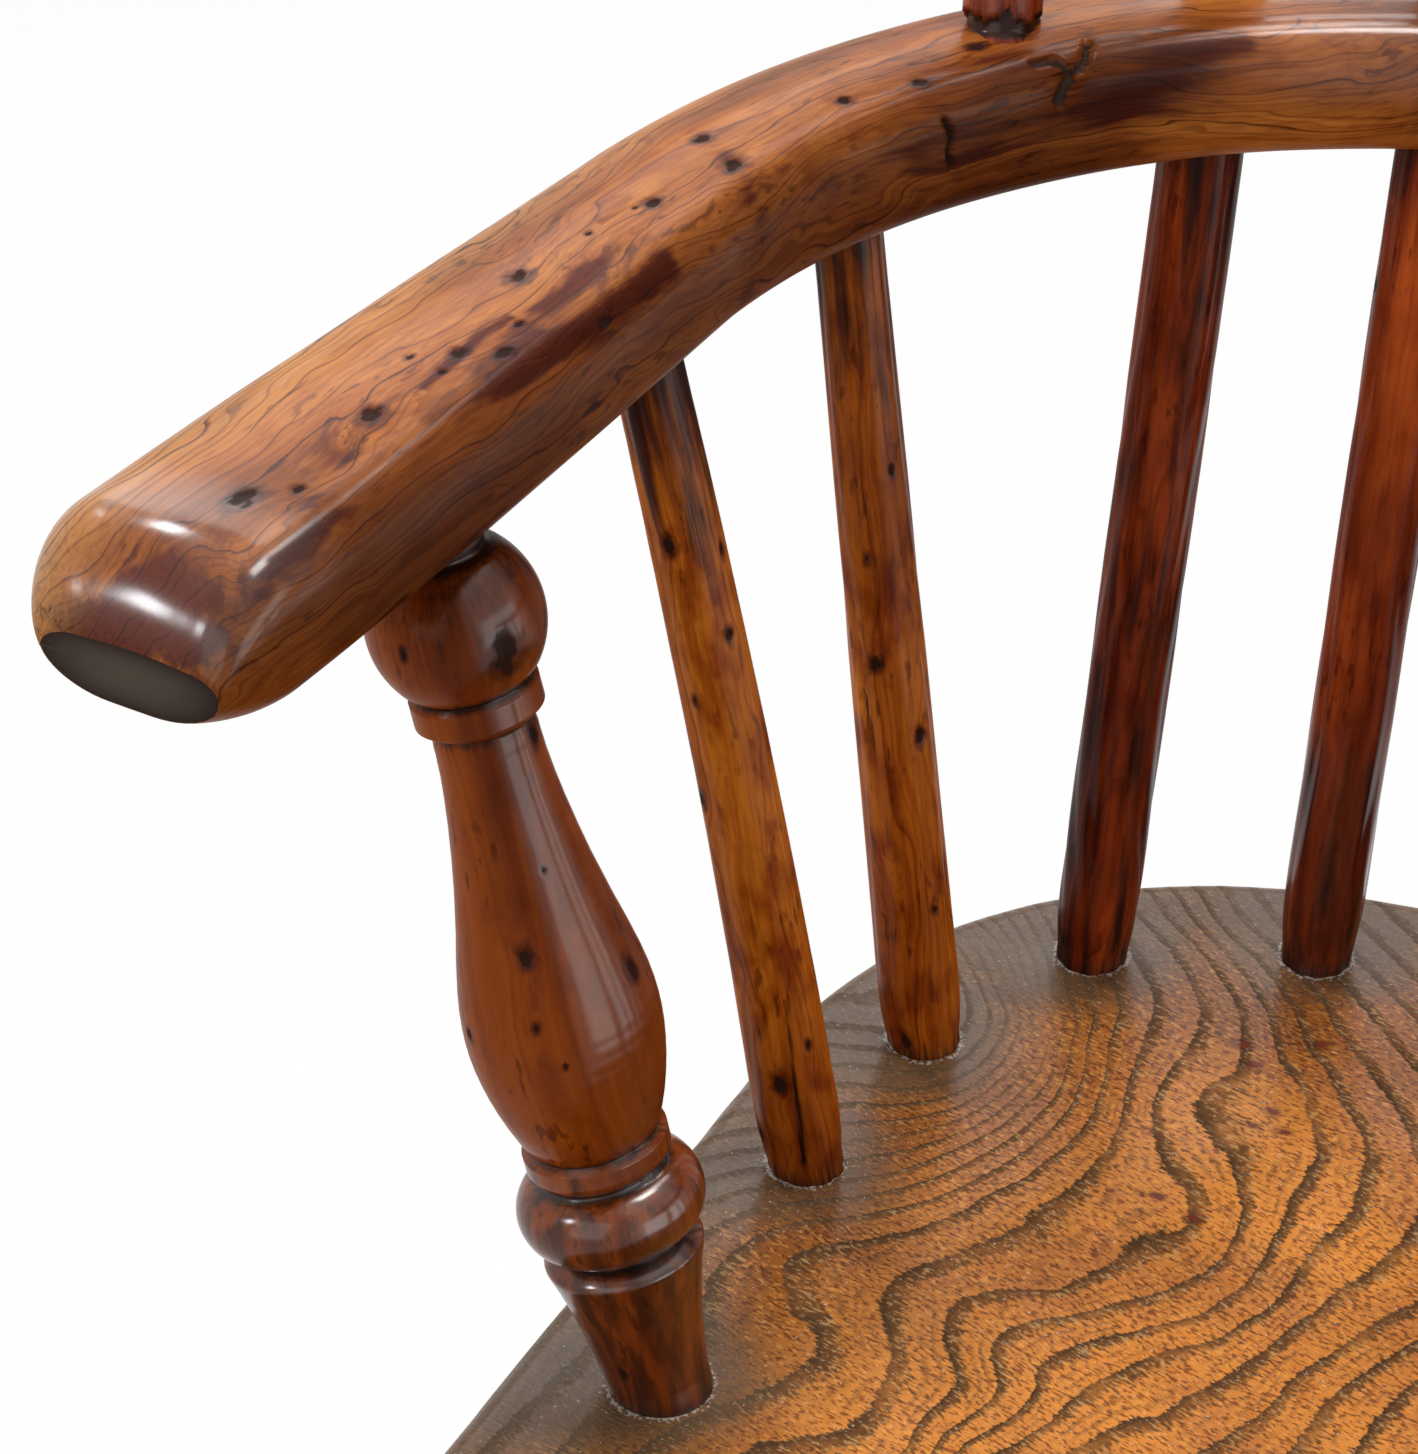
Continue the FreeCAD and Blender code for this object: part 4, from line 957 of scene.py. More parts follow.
hoop_run = np.concatenate([[0], np.cumsum(np.linalg.norm(np.diff(hoop_centres, axis=0), axis=1))])
print("hoop:", round(hoop_run[-1] / MM), "mm of rod, arch", round(2 * arch / MM), "mm wide")

# %% [markdown]
# The rod swells a little towards its crown. Its chips are a ragged step in the girth just above the bow, and
# the two feet are chipped differently.

# %% Hoop: piece
HOOP_FOOT_RADIUS = 6.5 * MM
HOOP_CROWN_RADIUS = 9 * MM
HOOP_COLLAR = 8 * MM
HOOP_AROUND = 72
HOOP_LUMPS = (40 * MM, 9 * MM, 9 * MM)
CHIP_REACH = 2.6 * MM
CHIP_DEPTH = 0.9 * MM
CHIP_LUMP = 1.3 * MM
CHIP_EVEN = 0.45                   # share of the reach that doesn't vary
HOOP_HEART = 0.15
HOOP_WAX = 0.3
COLLAR_DIRT = 0.5
COLLAR_DIRT_REACH = 6 * MM


def full_turn(count):
    """Evenly spaced angles round a circle."""
    return np.linspace(0, 2 * math.pi, count, endpoint=False)


def rod_grain(runs, radii, angles):
    """Place in the log of each point of a rod: along it, and two distances across."""
    along = np.broadcast_to(runs[:, None, None], (len(runs), len(angles), 1))
    return np.concatenate([along, radii[:, None, None] * circle(angles)], axis=-1)


hoop_ways = np.gradient(hoop_centres, axis=0)
hoop_ways /= np.linalg.norm(hoop_ways, axis=1, keepdims=True)
hoop_sides = np.cross(hoop_ways, lean_square)
swell = soft_step(hoop_path[:, 1], HOOP_COLLAR, HOOP_HEIGHT)
radii = HOOP_FOOT_RADIUS + (HOOP_CROWN_RADIUS - HOOP_FOOT_RADIUS) * swell
disc = circle(full_turn(HOOP_AROUND))
hoop_grain = rod_grain(hoop_run, radii, full_turn(HOOP_AROUND))
rise = np.broadcast_to(hoop_path[:, 1:], hoop_grain.shape[:2])
jag = soft_noise(hoop_grain * (0, 1, 1) + np.sign(hoop_path[:, None, :1]), CHIP_LUMP, seed=6)
jag = CHIP_REACH * (CHIP_EVEN + (1 - CHIP_EVEN) * jag)
chipped = (rise < jag) * (rise > -CHIP_REACH)
uneven = BOW_UNEVEN * soft_noise(hoop_grain, HOOP_LUMPS, seed=7)
girth = radii[:, None] + uneven - CHIP_DEPTH * chipped
spokes = disc[:, :1] * lean_square + disc[:, 1:] * hoop_sides[:, None]
hoop_rows = hoop_centres[:, None] + girth[..., None] * spokes
add_piece("hoop", DARK_YEW, hoop_rows, {
    "grain": hoop_grain,
    "knot": np.full(rise.shape, NO_KNOT),
    "heart_and_shade": np.full(rise.shape, HOOP_HEART),
    "wax": np.full(rise.shape, HOOP_WAX),
    "grime_and_shadow": np.maximum(chipped * 1.0, COLLAR_DIRT * np.exp(-np.abs(rise) / COLLAR_DIRT_REACH))})

# %% [markdown]
# ## Turned and shaved pieces
#
# Sticks, posts, legs and stretchers are all round about one axis. Their outlines are already right in the CAD
# nodes, so they are measured there: the axis is the main direction of the node's faces, and the radius at
# each height is where rays from outside meet the wood. The middle value of several rays passes over a socket
# on one side. The new skin is finer and slightly out of round.

# %% Measure a round node
PROFILE_STEP = 0.25 * MM
FEELERS = 9                        # rays round the axis at each height
FEELER_REACH = 60 * MM


def square_to(axis):
    """Two directions square to an axis and to each other."""
    first = np.cross(axis, np.eye(3)[np.argmin(np.abs(axis))])
    first /= np.linalg.norm(first)
    return first, np.cross(axis, first)


def turned_axis(node):
    """Middle, direction, and lowest and highest point of a node that is round about one axis."""
    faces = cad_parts[node].data.polygons
    centres, areas = np.empty(len(faces) * 3), np.empty(len(faces))
    faces.foreach_get("center", centres)
    faces.foreach_get("area", areas)
    centres = centres.reshape(-1, 3)
    middle = areas @ centres / areas.sum()
    spread = (centres - middle).T @ ((centres - middle) * areas[:, None])
    axis = np.linalg.eigh(spread)[1][:, -1]
    axis = axis * np.sign(axis[np.argmax(np.abs(axis))])
    heights = (centres - middle) @ axis
    return middle, axis, heights.min(), heights.max()


def turned_outline(node):
    """Foot, direction, heights and radii of a round node."""
    middle, axis, low, high = turned_axis(node)
    surface = surface_of(node)
    first, second = square_to(axis)
    stations = np.arange(low + PROFILE_STEP, high, PROFILE_STEP)
    radii = np.full((len(stations), FEELERS), np.nan)
    for column, angle in enumerate(full_turn(FEELERS)):
        spoke = math.cos(angle) * first + math.sin(angle) * second
        for row, station in enumerate(stations):
            start = middle + station * axis + spoke * FEELER_REACH
            gap = surface.ray_cast(start, -spoke, FEELER_REACH)[3]
            if gap is not None:
                radii[row, column] = FEELER_REACH - gap
    felt = np.nanmedian(radii, axis=1)
    known = np.flatnonzero(np.isfinite(felt))
    felt = np.interp(np.arange(len(felt)), known, felt[known])
    return middle + stations[0] * axis, axis, stations - stations[0], felt


post_heights, post_radii = turned_outline("arm_post_right")[2:]
print("arm post:", round(post_heights[-1] / MM), "mm long,", round(2 * post_radii.max() / MM), "mm thick")

# %% [markdown]
# The skin of a round piece follows that outline. Shaved sticks get long flats from the knife, and turned ones
# only a little unevenness, with their grooves cut sharper.

# %% Round pieces: shape
GROOVE_SPAN = 6 * MM               # a groove lies below its neighbourhood
GROOVE_DEPTH = 1.6 * MM
ROUND_UNEVEN, ROUND_LUMPS = 0.09 * MM, (50 * MM, 10 * MM, 10 * MM)
ROUND_FINE, ROUND_RIPPLES = 0.025 * MM, (6 * MM, 4 * MM, 4 * MM)
FLAT_TWIST, FLAT_WANDER = 0.8, 70 * MM


def groove_depth(girth, step):
    """How far each ring of an outline lies below its neighbourhood, from 0 to 1."""
    count = int(GROOVE_SPAN / step)
    level = np.convolve(np.pad(girth, count, mode="edge"), np.ones(count) / count, "same")[count:-count]
    return np.clip((level - girth) / GROOVE_DEPTH, 0, 1)


def tool_marks(grain, stations, angles, seed, flats, flat_depth):
    """How far the knife or the lathe left each point in or out."""
    offset = ROUND_UNEVEN * soft_noise(grain, ROUND_LUMPS, seed)
    offset += ROUND_FINE * soft_noise(grain, ROUND_RIPPLES, seed + 1)
    if flats:
        line = np.stack([stations, stations, stations], axis=1)
        twist = FLAT_TWIST * soft_noise(line, FLAT_WANDER, seed + 2)[:, None]
        facet = np.abs(np.cos(flats / 2 * (angles + twist)))
        offset -= flat_depth * MM * (1 - facet)
    return offset


print("grooves are found over", round(GROOVE_SPAN / MM), "mm")

# %% [markdown]
# Knots that the photograph shows are given by their pixels, and a seeded scatter adds others, so that the far
# side of a piece isn't bare. Dirt gathers where a piece meets the seat and in grooves. Near the bow's
# underside the pieces are coloured darker as painted shadow of the bow, and the sticks' tops take a painted
# shade too.
# One side of each piece is rubbed to a gloss.

# %% Round pieces: marks
SEAT_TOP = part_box("seat")[1].z
# 4 mm of dirt at the seat; the 20 mm below the bow's underside is painted shadow of the bow
GRIME_AND_SHADOW_REACH = {SEAT_TOP: 4 * MM, BOW_UNDERSIDE: 20 * MM}
JOINT_GRIME_AND_SHADOW = 0.75
GROOVE_GRIME = 1.3
DARK_FOOT_SPAN = (36 * MM, 56 * MM)
# painted shade: how far below the bow a stick's top is coloured darker
PAINTED_TOP_SHADE_SPAN = (22 * MM, 50 * MM)
FOOT_WAX = 1.3
SHEEN_WAY = np.array([0.89, -0.46, 0.0])           # the side that is rubbed to a gloss
SHEEN_EDGE = (0.86, 0.95)          # how far the wood has to face that way
ROUND_KNOT_SCALE = 0.75
ROUND_KNOT_DIP = (0.0, 0.7)
ROUND_CHECK_DIP = (0.3, 0.9)
SCATTERED_SIZES = (0.6, 1.5)       # mm
KNOT_PUSH = np.array([0, 0.8, -0.8])               # the grain flows past a knot
KNOT_PUSH_REACH = 2.2              # times its radius
LOG_SHIFT = 0.02                   # m, so that no two pieces show the same rings


def round_knots(rows, surface, knots, scatter, chance):
    """Places and radii of the knots that the photograph shows and of scattered ones."""
    spots = photo_spots(surface, [pixel for pixel, size in knots])
    sizes = [ROUND_KNOT_SCALE * size * MM for pixel, size in knots]
    for _ in range(scatter):
        row = chance.integers(rows.shape[0])
        column = chance.integers(rows.shape[1])
        spots = np.concatenate([spots, rows[row, column][None]])
        sizes.append(chance.uniform(*SCATTERED_SIZES) * MM)
    return spots, sizes


def round_piece(node, slot, finish, seed, step, around, flats=0, flat_depth=0.0, bow=(0, 0, 0),
                scored=0.0, knots=(), checks=(), scatter=5, heart_and_shade=0.0, dark_foot=0.0, painted_top_shade=0.0,
                wax=0.06, sheen=0.3):
    """A turned or shaved piece over its node. Flat depth, bow and scored are in mm."""
    foot, axis, heights, radii = turned_outline(node)
    length = heights[-1]
    stations = np.linspace(0, length, int(length / step))
    girth = np.interp(stations, heights, radii)
    groove = groove_depth(girth, step)
    girth = girth - groove * scored * MM
    angles = full_turn(around)
    first, second = square_to(axis)
    spokes = np.cos(angles)[:, None] * first + np.sin(angles)[:, None] * second
    swing = np.sin(math.pi * stations / length)[:, None] * np.array(bow) * MM
    centres = foot + stations[:, None] * axis + swing
    grain = rod_grain(stations, girth, angles)
    offset = tool_marks(grain, stations, angles, seed, flats, flat_depth)
    rows = centres[:, None] + (girth[:, None] + offset)[..., None] * spokes
    surface = surface_of(node)
    chance = np.random.default_rng(seed)
    spots, sizes = round_knots(rows, surface, knots, scatter, chance)
    knot = knot_field(rows, grain, spots, sizes)
    check = strokes(rows, surface, checks)
    hollow = KNOT_HOLLOW * soft_step(knot, *ROUND_KNOT_DIP) + CHECK_DEPTH * soft_step(check, *ROUND_CHECK_DIP)
    rows = rows - hollow[..., None] * spokes
    rows[..., 2] = np.maximum(rows[..., 2], 0.0)
    for spot, size in zip(spots, sizes):
        share = fade(np.linalg.norm(rows - spot, axis=-1), KNOT_PUSH_REACH * size)
        grain = grain + (share * size)[..., None] * KNOT_PUSH
    height = rows[..., 2]
    # dirt at the seat, painted shadow below the bow, and dirt in grooves
    grime_and_shadow = sum(np.exp(-np.abs(height - level) / reach) for level, reach in GRIME_AND_SHADOW_REACH.items())
    grime_and_shadow = JOINT_GRIME_AND_SHADOW * grime_and_shadow + GROOVE_GRIME * groove[:, None]
    low = 1 - soft_step(height - SEAT_TOP, *DARK_FOOT_SPAN)
    # painted shade: a stick's top is coloured darker under the bow
    high = 1 - soft_step(BOW_UNDERSIDE - height, *PAINTED_TOP_SHADE_SPAN)
    fields = {
        "grain": grain + chance.uniform(-LOG_SHIFT, LOG_SHIFT, 3) + np.array([seed, 0, 0]),
        "knot": knot,
        "heart_and_shade": heart_and_shade + dark_foot * low + painted_top_shade * high,
        "wax": wax + FOOT_WAX * dark_foot * low + sheen * soft_step(spokes @ SHEEN_WAY, *SHEEN_EDGE),
        "grime_and_shadow": np.maximum(np.clip(grime_and_shadow, 0, 1), check)}
    fields = {name: capped(values) for name, values in fields.items()}
    add_piece(node, finish, capped(rows), fields)


print("seat top at", round(SEAT_TOP / MM), "mm, bow's underside at", round(BOW_UNDERSIDE / MM), "mm")

# %% [markdown]
# The short sticks under the arms are shaved with a knife, so they have flats and are seldom quite straight.
# Those on the right carry the knots and checks of the photograph. Those on the left have the same cut, and
# their knots are scattered.

# %% Arm sticks
STICK_CUT = {"slot": "yew", "finish": STICK_YEW, "step": 0.6 * MM, "around": 72}
# both cuts colour a stick's top darker under the bow, as painted shade
FRONT_CUT = {**STICK_CUT, "flats": 9, "flat_depth": 0.35, "painted_top_shade": 0.65}
BACK_CUT = {**STICK_CUT, "flats": 10, "flat_depth": 0.3, "painted_top_shade": 0.5}

round_piece("arm_stick_front_right", seed=11, bow=(1.3, 0.5, 0), **FRONT_CUT,
            knots=[((668, 547), 1.6), ((718, 551), 1.2), ((727, 636), 1.3), ((757, 722), 1.0),
                   ((692, 703), 0.9), ((806, 1044), 1.9), ((781, 1086), 2.0), ((829, 1068), 1.1)],
            checks=[(0.5, 1.0, [(786, 1000), (792, 1060), (800, 1120), (804, 1165)])])
round_piece("arm_stick_back_right", seed=21, **BACK_CUT,
            knots=[((875, 662), 1.4), ((920, 737), 1.6), ((866, 560), 1.0), ((893, 470), 1.0),
                   ((905, 1042), 1.5)],
            checks=[(0.45, 1.0, [(862, 690), (868, 720), (872, 750)])])
round_piece("arm_stick_front_left", seed=31, scatter=10, **FRONT_CUT)
round_piece("arm_stick_back_left", seed=41, scatter=9, **BACK_CUT)

# %% [markdown]
# The long sticks of the back are of the hoop's darker yew. They are shaved like the short ones, and each has
# a darkness of its own.

# %% Back sticks
BACK_STICK_HEARTS = [(0.4, 0.1), (0.0, 0.4), (0.3, 0.2), (0.15, 0.2), (0.4, 0.1)]  # all along, at the foot

for index, (heart_and_shade, dark_foot) in enumerate(BACK_STICK_HEARTS, 1):
    round_piece(f"back_stick_{index}", "dark_yew", DARK_YEW, seed=50 + 10 * index, step=0.9 * MM, around=64,
                flats=8 + index % 3, flat_depth=0.35, scatter=6, heart_and_shade=heart_and_shade, dark_foot=dark_foot)

# %% [markdown]
# The posts under the arm's ends are turned on a lathe: a ball, a ring, a vase and a foot. They are rounder
# than the sticks, their grooves hold black wax, and one side shines.

# %% Arm posts
POST_CUT = {"slot": "yew", "finish": TURNED_YEW, "step": 0.4 * MM, "around": 128, "scored": 0.7,
            "wax": 0.08, "sheen": 0.7, "dark_foot": 0.5}

round_piece("arm_post_right", seed=111, **POST_CUT,
            knots=[((525, 957), 1.7), ((535, 1030), 0.9), ((632, 968), 1.9), ((505, 655), 4.0),
                   ((404, 655), 1.0), ((545, 870), 0.7), ((568, 1066), 0.6)])
round_piece("arm_post_left", seed=121, scatter=9, **POST_CUT)

# %% [markdown]
# Legs and stretchers aren't in the photograph. They get the finish of the post, because a maker would turn
# them from the same wood.

# %% Legs and stretchers
LEGS = ["leg_front_right", "leg_front_left", "leg_back_right", "leg_back_left"]
STRETCHERS = ["side_stretcher_right", "side_stretcher_left", "cross_stretcher"]
LEG_CUT = {"slot": "yew", "finish": TURNED_YEW, "step": 0.6 * MM, "scored": 0.5, "wax": 0.1, "sheen": 0.6}

for order, name in enumerate(LEGS):
    round_piece(name, seed=130 + 10 * order, around=96, scatter=9, **LEG_CUT)
for order, name in enumerate(STRETCHERS):
    round_piece(name, seed=170 + 10 * order, around=80, scatter=7, **LEG_CUT)

# %% [markdown]
# ## The seat
#
# The seat is one elm board. Elm has open pores that gather in wavy dark bands, and this board is cut so that
# the bands wander over it like the lines of a map. Noise alone never gives such a map. A few of its lines are
# traced instead, each with the number of its ring, and a smooth surface is stretched over those numbers. Its
# whole values are the bands, also where the photograph doesn't reach.

# %% Seat: traced rings
SEAT_LINES = {
    -9: [(858, 1062), (935, 1070), (985, 1030), (978, 985), (955, 945)],
    -6: [(861, 1120), (966, 1102), (1019, 1059), (1035, 1012), (1008, 965), (977, 926)],
    -3: [(866, 1175), (956, 1149), (1024, 1102), (1056, 1044), (1048, 1000)],
    -1: [(850, 1217), (966, 1186), (1061, 1117), (1084, 1044), (1090, 1000)],
    0: [(745, 1396), (808, 1359), (819, 1338), (798, 1323), (779, 1291), (798, 1249), (893, 1233),
        (982, 1196), (1070, 1140), (1105, 1070), (1120, 1010)],
    1: [(761, 1438), (861, 1407), (887, 1370), (877, 1307), (893, 1275), (977, 1244), (1040, 1207),
        (1087, 1165), (1119, 1123), (1129, 1080), (1150, 1020), (1130, 960)],
    2: [(903, 1454), (956, 1380), (945, 1344), (945, 1312), (977, 1291), (1061, 1280), (1114, 1254),
        (1130, 1228), (1190, 1212), (1187, 1190), (1158, 1154), (1153, 1101), (1172, 1064), (1200, 1010),
        (1170, 950)],
    3: [(987, 1396), (998, 1375), (987, 1338), (1008, 1317), (1103, 1291), (1193, 1265), (1235, 1228),
        (1235, 1186), (1214, 1144), (1187, 1107), (1203, 1086), (1240, 1060), (1235, 1000), (1190, 940)],
    4: [(1035, 1375), (1035, 1354), (1061, 1338), (1166, 1307), (1245, 1270), (1266, 1238), (1293, 1186),
        (1319, 1149), (1310, 1096), (1270, 1030)],
    5: [(977, 1449), (1056, 1396), (1093, 1365), (1166, 1328), (1266, 1291), (1303, 1249), (1351, 1196),
        (1361, 1165), (1335, 1102), (1303, 1049), (1282, 996), (1220, 930)],
    6: [(1040, 1454), (1114, 1402), (1166, 1391), (1219, 1354), (1287, 1307), (1340, 1270), (1418, 1200),
        (1400, 1120), (1360, 1060), (1320, 1000)],
    7: [(1145, 1454), (1219, 1412), (1272, 1381), (1340, 1328), (1418, 1286)],
    8: [(1240, 1454), (1320, 1380), (1418, 1320)],
    9: [(1335, 1454), (1366, 1407), (1418, 1354)],
}
RING_STIFFNESS = 2e-5


def seat_spot(x, y):
    """Where a pixel of the photograph meets the level of the seat's top."""
    way = photo_ray(x, y)
    spot = CAMERA_PLACE + way * ((SEAT_TOP - CAMERA_PLACE.z) / way.z)
    return spot.x, spot.y


def plate(distance):
    """Bending of a thin plate round one held point."""
    return distance ** 2 * np.log(distance + TINY)


held = np.array([seat_spot(x, y) for pixels in SEAT_LINES.values() for x, y in pixels])
levels = np.array([level for level, pixels in SEAT_LINES.items() for _ in pixels], float)
apart = np.linalg.norm(held[:, None] - held[None], axis=-1)
flat = np.column_stack([np.ones(len(held)), held])
system = np.block([[plate(apart) + RING_STIFFNESS * np.eye(len(held)), flat], [flat.T, np.zeros((3, 3))]])
weights = np.linalg.solve(system, np.concatenate([levels, np.zeros(3)]))


def seat_ring(places):
    """Ring number at places on the seat."""
    total = weights[-3] + places @ weights[-2:]
    for spot, weight in zip(held, weights):
        total = total + weight * plate(np.linalg.norm(places - spot, axis=-1))
    return total


ring_misfit = np.abs(seat_ring(held) - levels).max()
print("seat rings:", len(held), "held points, met within", ring_misfit.round(2), "of a ring")

# %% [markdown]
# The board's skin starts under its middle, runs out to the edge, up the side and back to the middle of the
# top. Its outline is measured on the CAD seat by rays from outside. The dish has the same curve as in the CAD
# model, a Bezier curve that starts and ends level.

# %% Seat: skin
SEAT_AROUND = 900
SEAT_UNDER_ROUND = 11 * MM
SEAT_TOP_ROUND = 6 * MM
DISH_RADIUS = 100 * MM
DISH_DEPTH = 6 * MM
DISH_LIP = 0.6 * MM
DISH_SETBACK = 150 * MM            # from the seat's back edge
DISH_HANDLE = 0.5                  # length of the curve's handles, times its radius
DISH_POINTS = 200
OUTSIDE = 1.0
EDGE_LEVEL = 12 * MM               # above the underside, clear of the sockets
TOP_ROWS = 120
ROUND_ROWS = 10
SIDE_ROWS = 10
UNDER_ROWS = 24
UNDER_MIDDLE = 0.02                # innermost rows, as a share of the way out
TOP_MIDDLE = 0.005


def level_row(places, level):
    """A ring of points at one level."""
    return np.column_stack([places, np.full(len(places), level)])


seat_low, seat_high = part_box("seat")
seat_middle = Vector((0, (seat_low.y + seat_high.y) / 2, seat_low.z + EDGE_LEVEL))
seat_surface = surface_of("seat")
edge = []
for angle in full_turn(SEAT_AROUND):
    spoke = Vector((math.cos(angle), math.sin(angle), 0))
    edge.append(seat_surface.ray_cast(seat_middle + spoke * OUTSIDE, -spoke)[0])
edge = np.array(edge)[:, :2]
hub = np.array(seat_middle)[:2]
reach = np.linalg.norm(edge - hub, axis=1)
spokes = (edge - hub) / reach[:, None]

seat_rows = []
for share in np.linspace(UNDER_MIDDLE, 1, UNDER_ROWS, endpoint=False):
    seat_rows.append(level_row(hub + spokes * ((reach - SEAT_UNDER_ROUND) * share)[:, None], seat_low.z))
quarter = np.linspace(0, math.pi / 2, ROUND_ROWS)
for turn in quarter:
    inset = SEAT_UNDER_ROUND * (1 - math.sin(turn))
    level = seat_low.z + SEAT_UNDER_ROUND * (1 - math.cos(turn))
    seat_rows.append(level_row(edge - spokes * inset, level))
side_low, side_high = seat_low.z + SEAT_UNDER_ROUND, seat_high.z - SEAT_TOP_ROUND
for level in np.linspace(side_low, side_high, SIDE_ROWS)[1:-1]:
    seat_rows.append(level_row(edge, level))
for turn in quarter:
    inset = SEAT_TOP_ROUND * (1 - math.cos(turn))
    level = seat_high.z - SEAT_TOP_ROUND * (1 - math.sin(turn))
    seat_rows.append(level_row(edge - spokes * inset, level))
for share in np.linspace(1, TOP_MIDDLE, TOP_ROWS)[1:]:
    seat_rows.append(level_row(hub + spokes * ((reach - SEAT_TOP_ROUND) * share)[:, None], seat_high.z))
seat_rows = np.array(seat_rows)
upper = np.arange(len(seat_rows)) >= len(seat_rows) - TOP_ROWS

bends = np.linspace(0, 1, DISH_POINTS)
dish_out = DISH_RADIUS * (3 * DISH_HANDLE * bends * (1 - bends) + bends ** 3)
dish_rise = (DISH_LIP + DISH_DEPTH) * eased(bends) - DISH_DEPTH
dish_middle = np.array([0, seat_high.y - DISH_SETBACK])
from_dish = np.linalg.norm(seat_rows[..., :2] - dish_middle, axis=-1)
dishing = np.minimum(np.interp(from_dish, dish_out, dish_rise), 0)
seat_rows[..., 2] += np.where(upper[:, None], dishing, 0)
print("seat:", seat_rows.shape, "edge", reach.min().round(3), "to", reach.max().round(3), "m from the middle")

# %% [markdown]
# Elm is coarser than yew. The band of open pores starts with a sharp dark line and is hatched with short
# black strokes. Finer lines run between the bands, and the wood is flecked with pale dashes. Where the traced
# rings crowd together the bands grow faint.

# %% Node group: elm bands
RING_SWAY = 0.3                    # of a ring
RING_FRAY = 0.24
BAND_FRAY = -0.8
BAND_FADE = (0.8 * MM, 4 * MM)     # ring gaps between which a band grows bold
FAINTEST_BAND = 0.5
FINE_LINE = 0.6


def elm_bands():
    """Dark bands of open pores, the line that starts each of them, and short dashes along the grain."""
    tree, given, result = new_group(
        "elm_bands",
        [("Ring", "Float", 0.0), ("Gap", "Float", 0.005), ("Grain", "Vector", None)],
        ["Band", "Line", "Dash", "Fleck"])
    grain = given["Grain"]
    sway = grain_noise(tree, grain, along=1, scale=130)
    dash = grain_noise(tree, grain, along=0.36, scale=1900)
    ring = ragged(tree, given["Ring"], sway, RING_SWAY)
    ring = ragged(tree, ring, dash, RING_FRAY)
    season = calc(tree, "FRACT", ring)
    patchy = ease(tree, grain_noise(tree, grain, along=1, scale=90), 0.25, 0.6)
    patchy = raised(tree, patchy, 1 - FAINTEST_BAND, FAINTEST_BAND)
    bold = times(tree, ease(tree, given["Gap"], *BAND_FADE), patchy)
    start = ease(tree, season, 0.0, 0.05)
    torn = ragged(tree, season, dash, BAND_FRAY)
    band = times(tree, start, ease(tree, torn, 0.44, 0.24))
    line = times(tree, start, ease(tree, season, 0.18, 0.07))
    second = times(tree, ease(tree, season, 0.48, 0.53), ease(tree, season, 0.66, 0.56))
    third = times(tree, ease(tree, season, 0.74, 0.78), ease(tree, season, 0.88, 0.80))
    broken = ease(tree, grain_noise(tree, grain, along=1, scale=170, detail=3.0), 0.42, 0.6)
    fine = times(tree, calc(tree, "MAXIMUM", second, third), broken)
    line = calc(tree, "MAXIMUM", line, times(tree, fine, FINE_LINE))
    plug(tree, times(tree, band, bold), result["Band"])
    plug(tree, times(tree, line, bold), result["Line"])
    plug(tree, ease(tree, dash, 0.49, 0.64), result["Dash"])
    fleck = grain_noise(tree, grain, along=0.36, scale=1700)
    plug(tree, ease(tree, fleck, 0.52, 0.66), result["Fleck"])
    return tree


ELM_BANDS = elm_bands()
print("group:", ELM_BANDS.name)

# %% [markdown]
# The finish lays these bands over a cloudy gold and brown. The old edge and the corners round the sticks have
# gone grey-black, and a little dry wax stands in white crumbs round each foot. The knots and the polish are
# the groups of the yew, with other values.

# %% Elm finish
ELM_GOLD = colour(214, 134, 50)
ELM_BROWN = colour(176, 104, 42)
ELM_UMBER = colour(112, 66, 30)
ELM_DASH = colour(150, 122, 100)
ELM_FLECK = colour(228, 160, 76)
ELM_BAND = colour(84, 58, 36)
BAND_FLECK = colour(158, 128, 88)
ELM_LINE = colour(60, 42, 27)
ELM_KNOT = colour(104, 46, 26)
ELM_PATINA = colour(82, 65, 47)
DRY_WAX = colour(190, 184, 178)
SEAT_WAX = 0.25
BAND_UNWAXED = 0.25
EDGE_POLISH = 0.2
SEAT_WAX_ROUGHNESS = 0.26
BAND_ROUGHER = 0.2
ELM_RELIEF = 0.4 * MM
ELM_BUMP = 0.6

ELM = bpy.data.materials.new("elm_seat")
tree = bare_tree(ELM)
grain = mark(tree, "grain", "Vector")
bands = placed(tree, ELM_BANDS, Ring=mark(tree, "ring"), Gap=mark(tree, "ring_gap"), Grain=grain)
knot = placed(tree, PIN_KNOTS, Grain=grain, Knot=mark(tree, "knot"), Share=0.01)
cloud = grain_noise(tree, grain, along=1, scale=26, detail=3.0)
wood = tint(tree, ease(tree, cloud, 0.35, 0.62), ELM_BROWN, ELM_GOLD)
wood = laid(tree, wood, mark(tree, "age"), 0.9, ELM_UMBER)
wood = laid(tree, wood, bands["Fleck"], 0.4, ELM_FLECK)
wood = laid(tree, wood, bands["Dash"], 0.85, ELM_DASH, "MULTIPLY")
pored = tint(tree, bands["Fleck"], ELM_BAND, BAND_FLECK)
wood = laid(tree, wood, bands["Band"], 0.9, pored)
wood = laid(tree, wood, bands["Line"], 0.7, ELM_LINE)
wood = laid(tree, wood, knot["Halo"], 0.5, HALO_SHADE, "MULTIPLY")
wood = tint(tree, knot["Core"], wood, ELM_KNOT)
grime_and_shadow = mark(tree, "grime_and_shadow")
murk = ragged(tree, grime_and_shadow, cloud, 1.0)
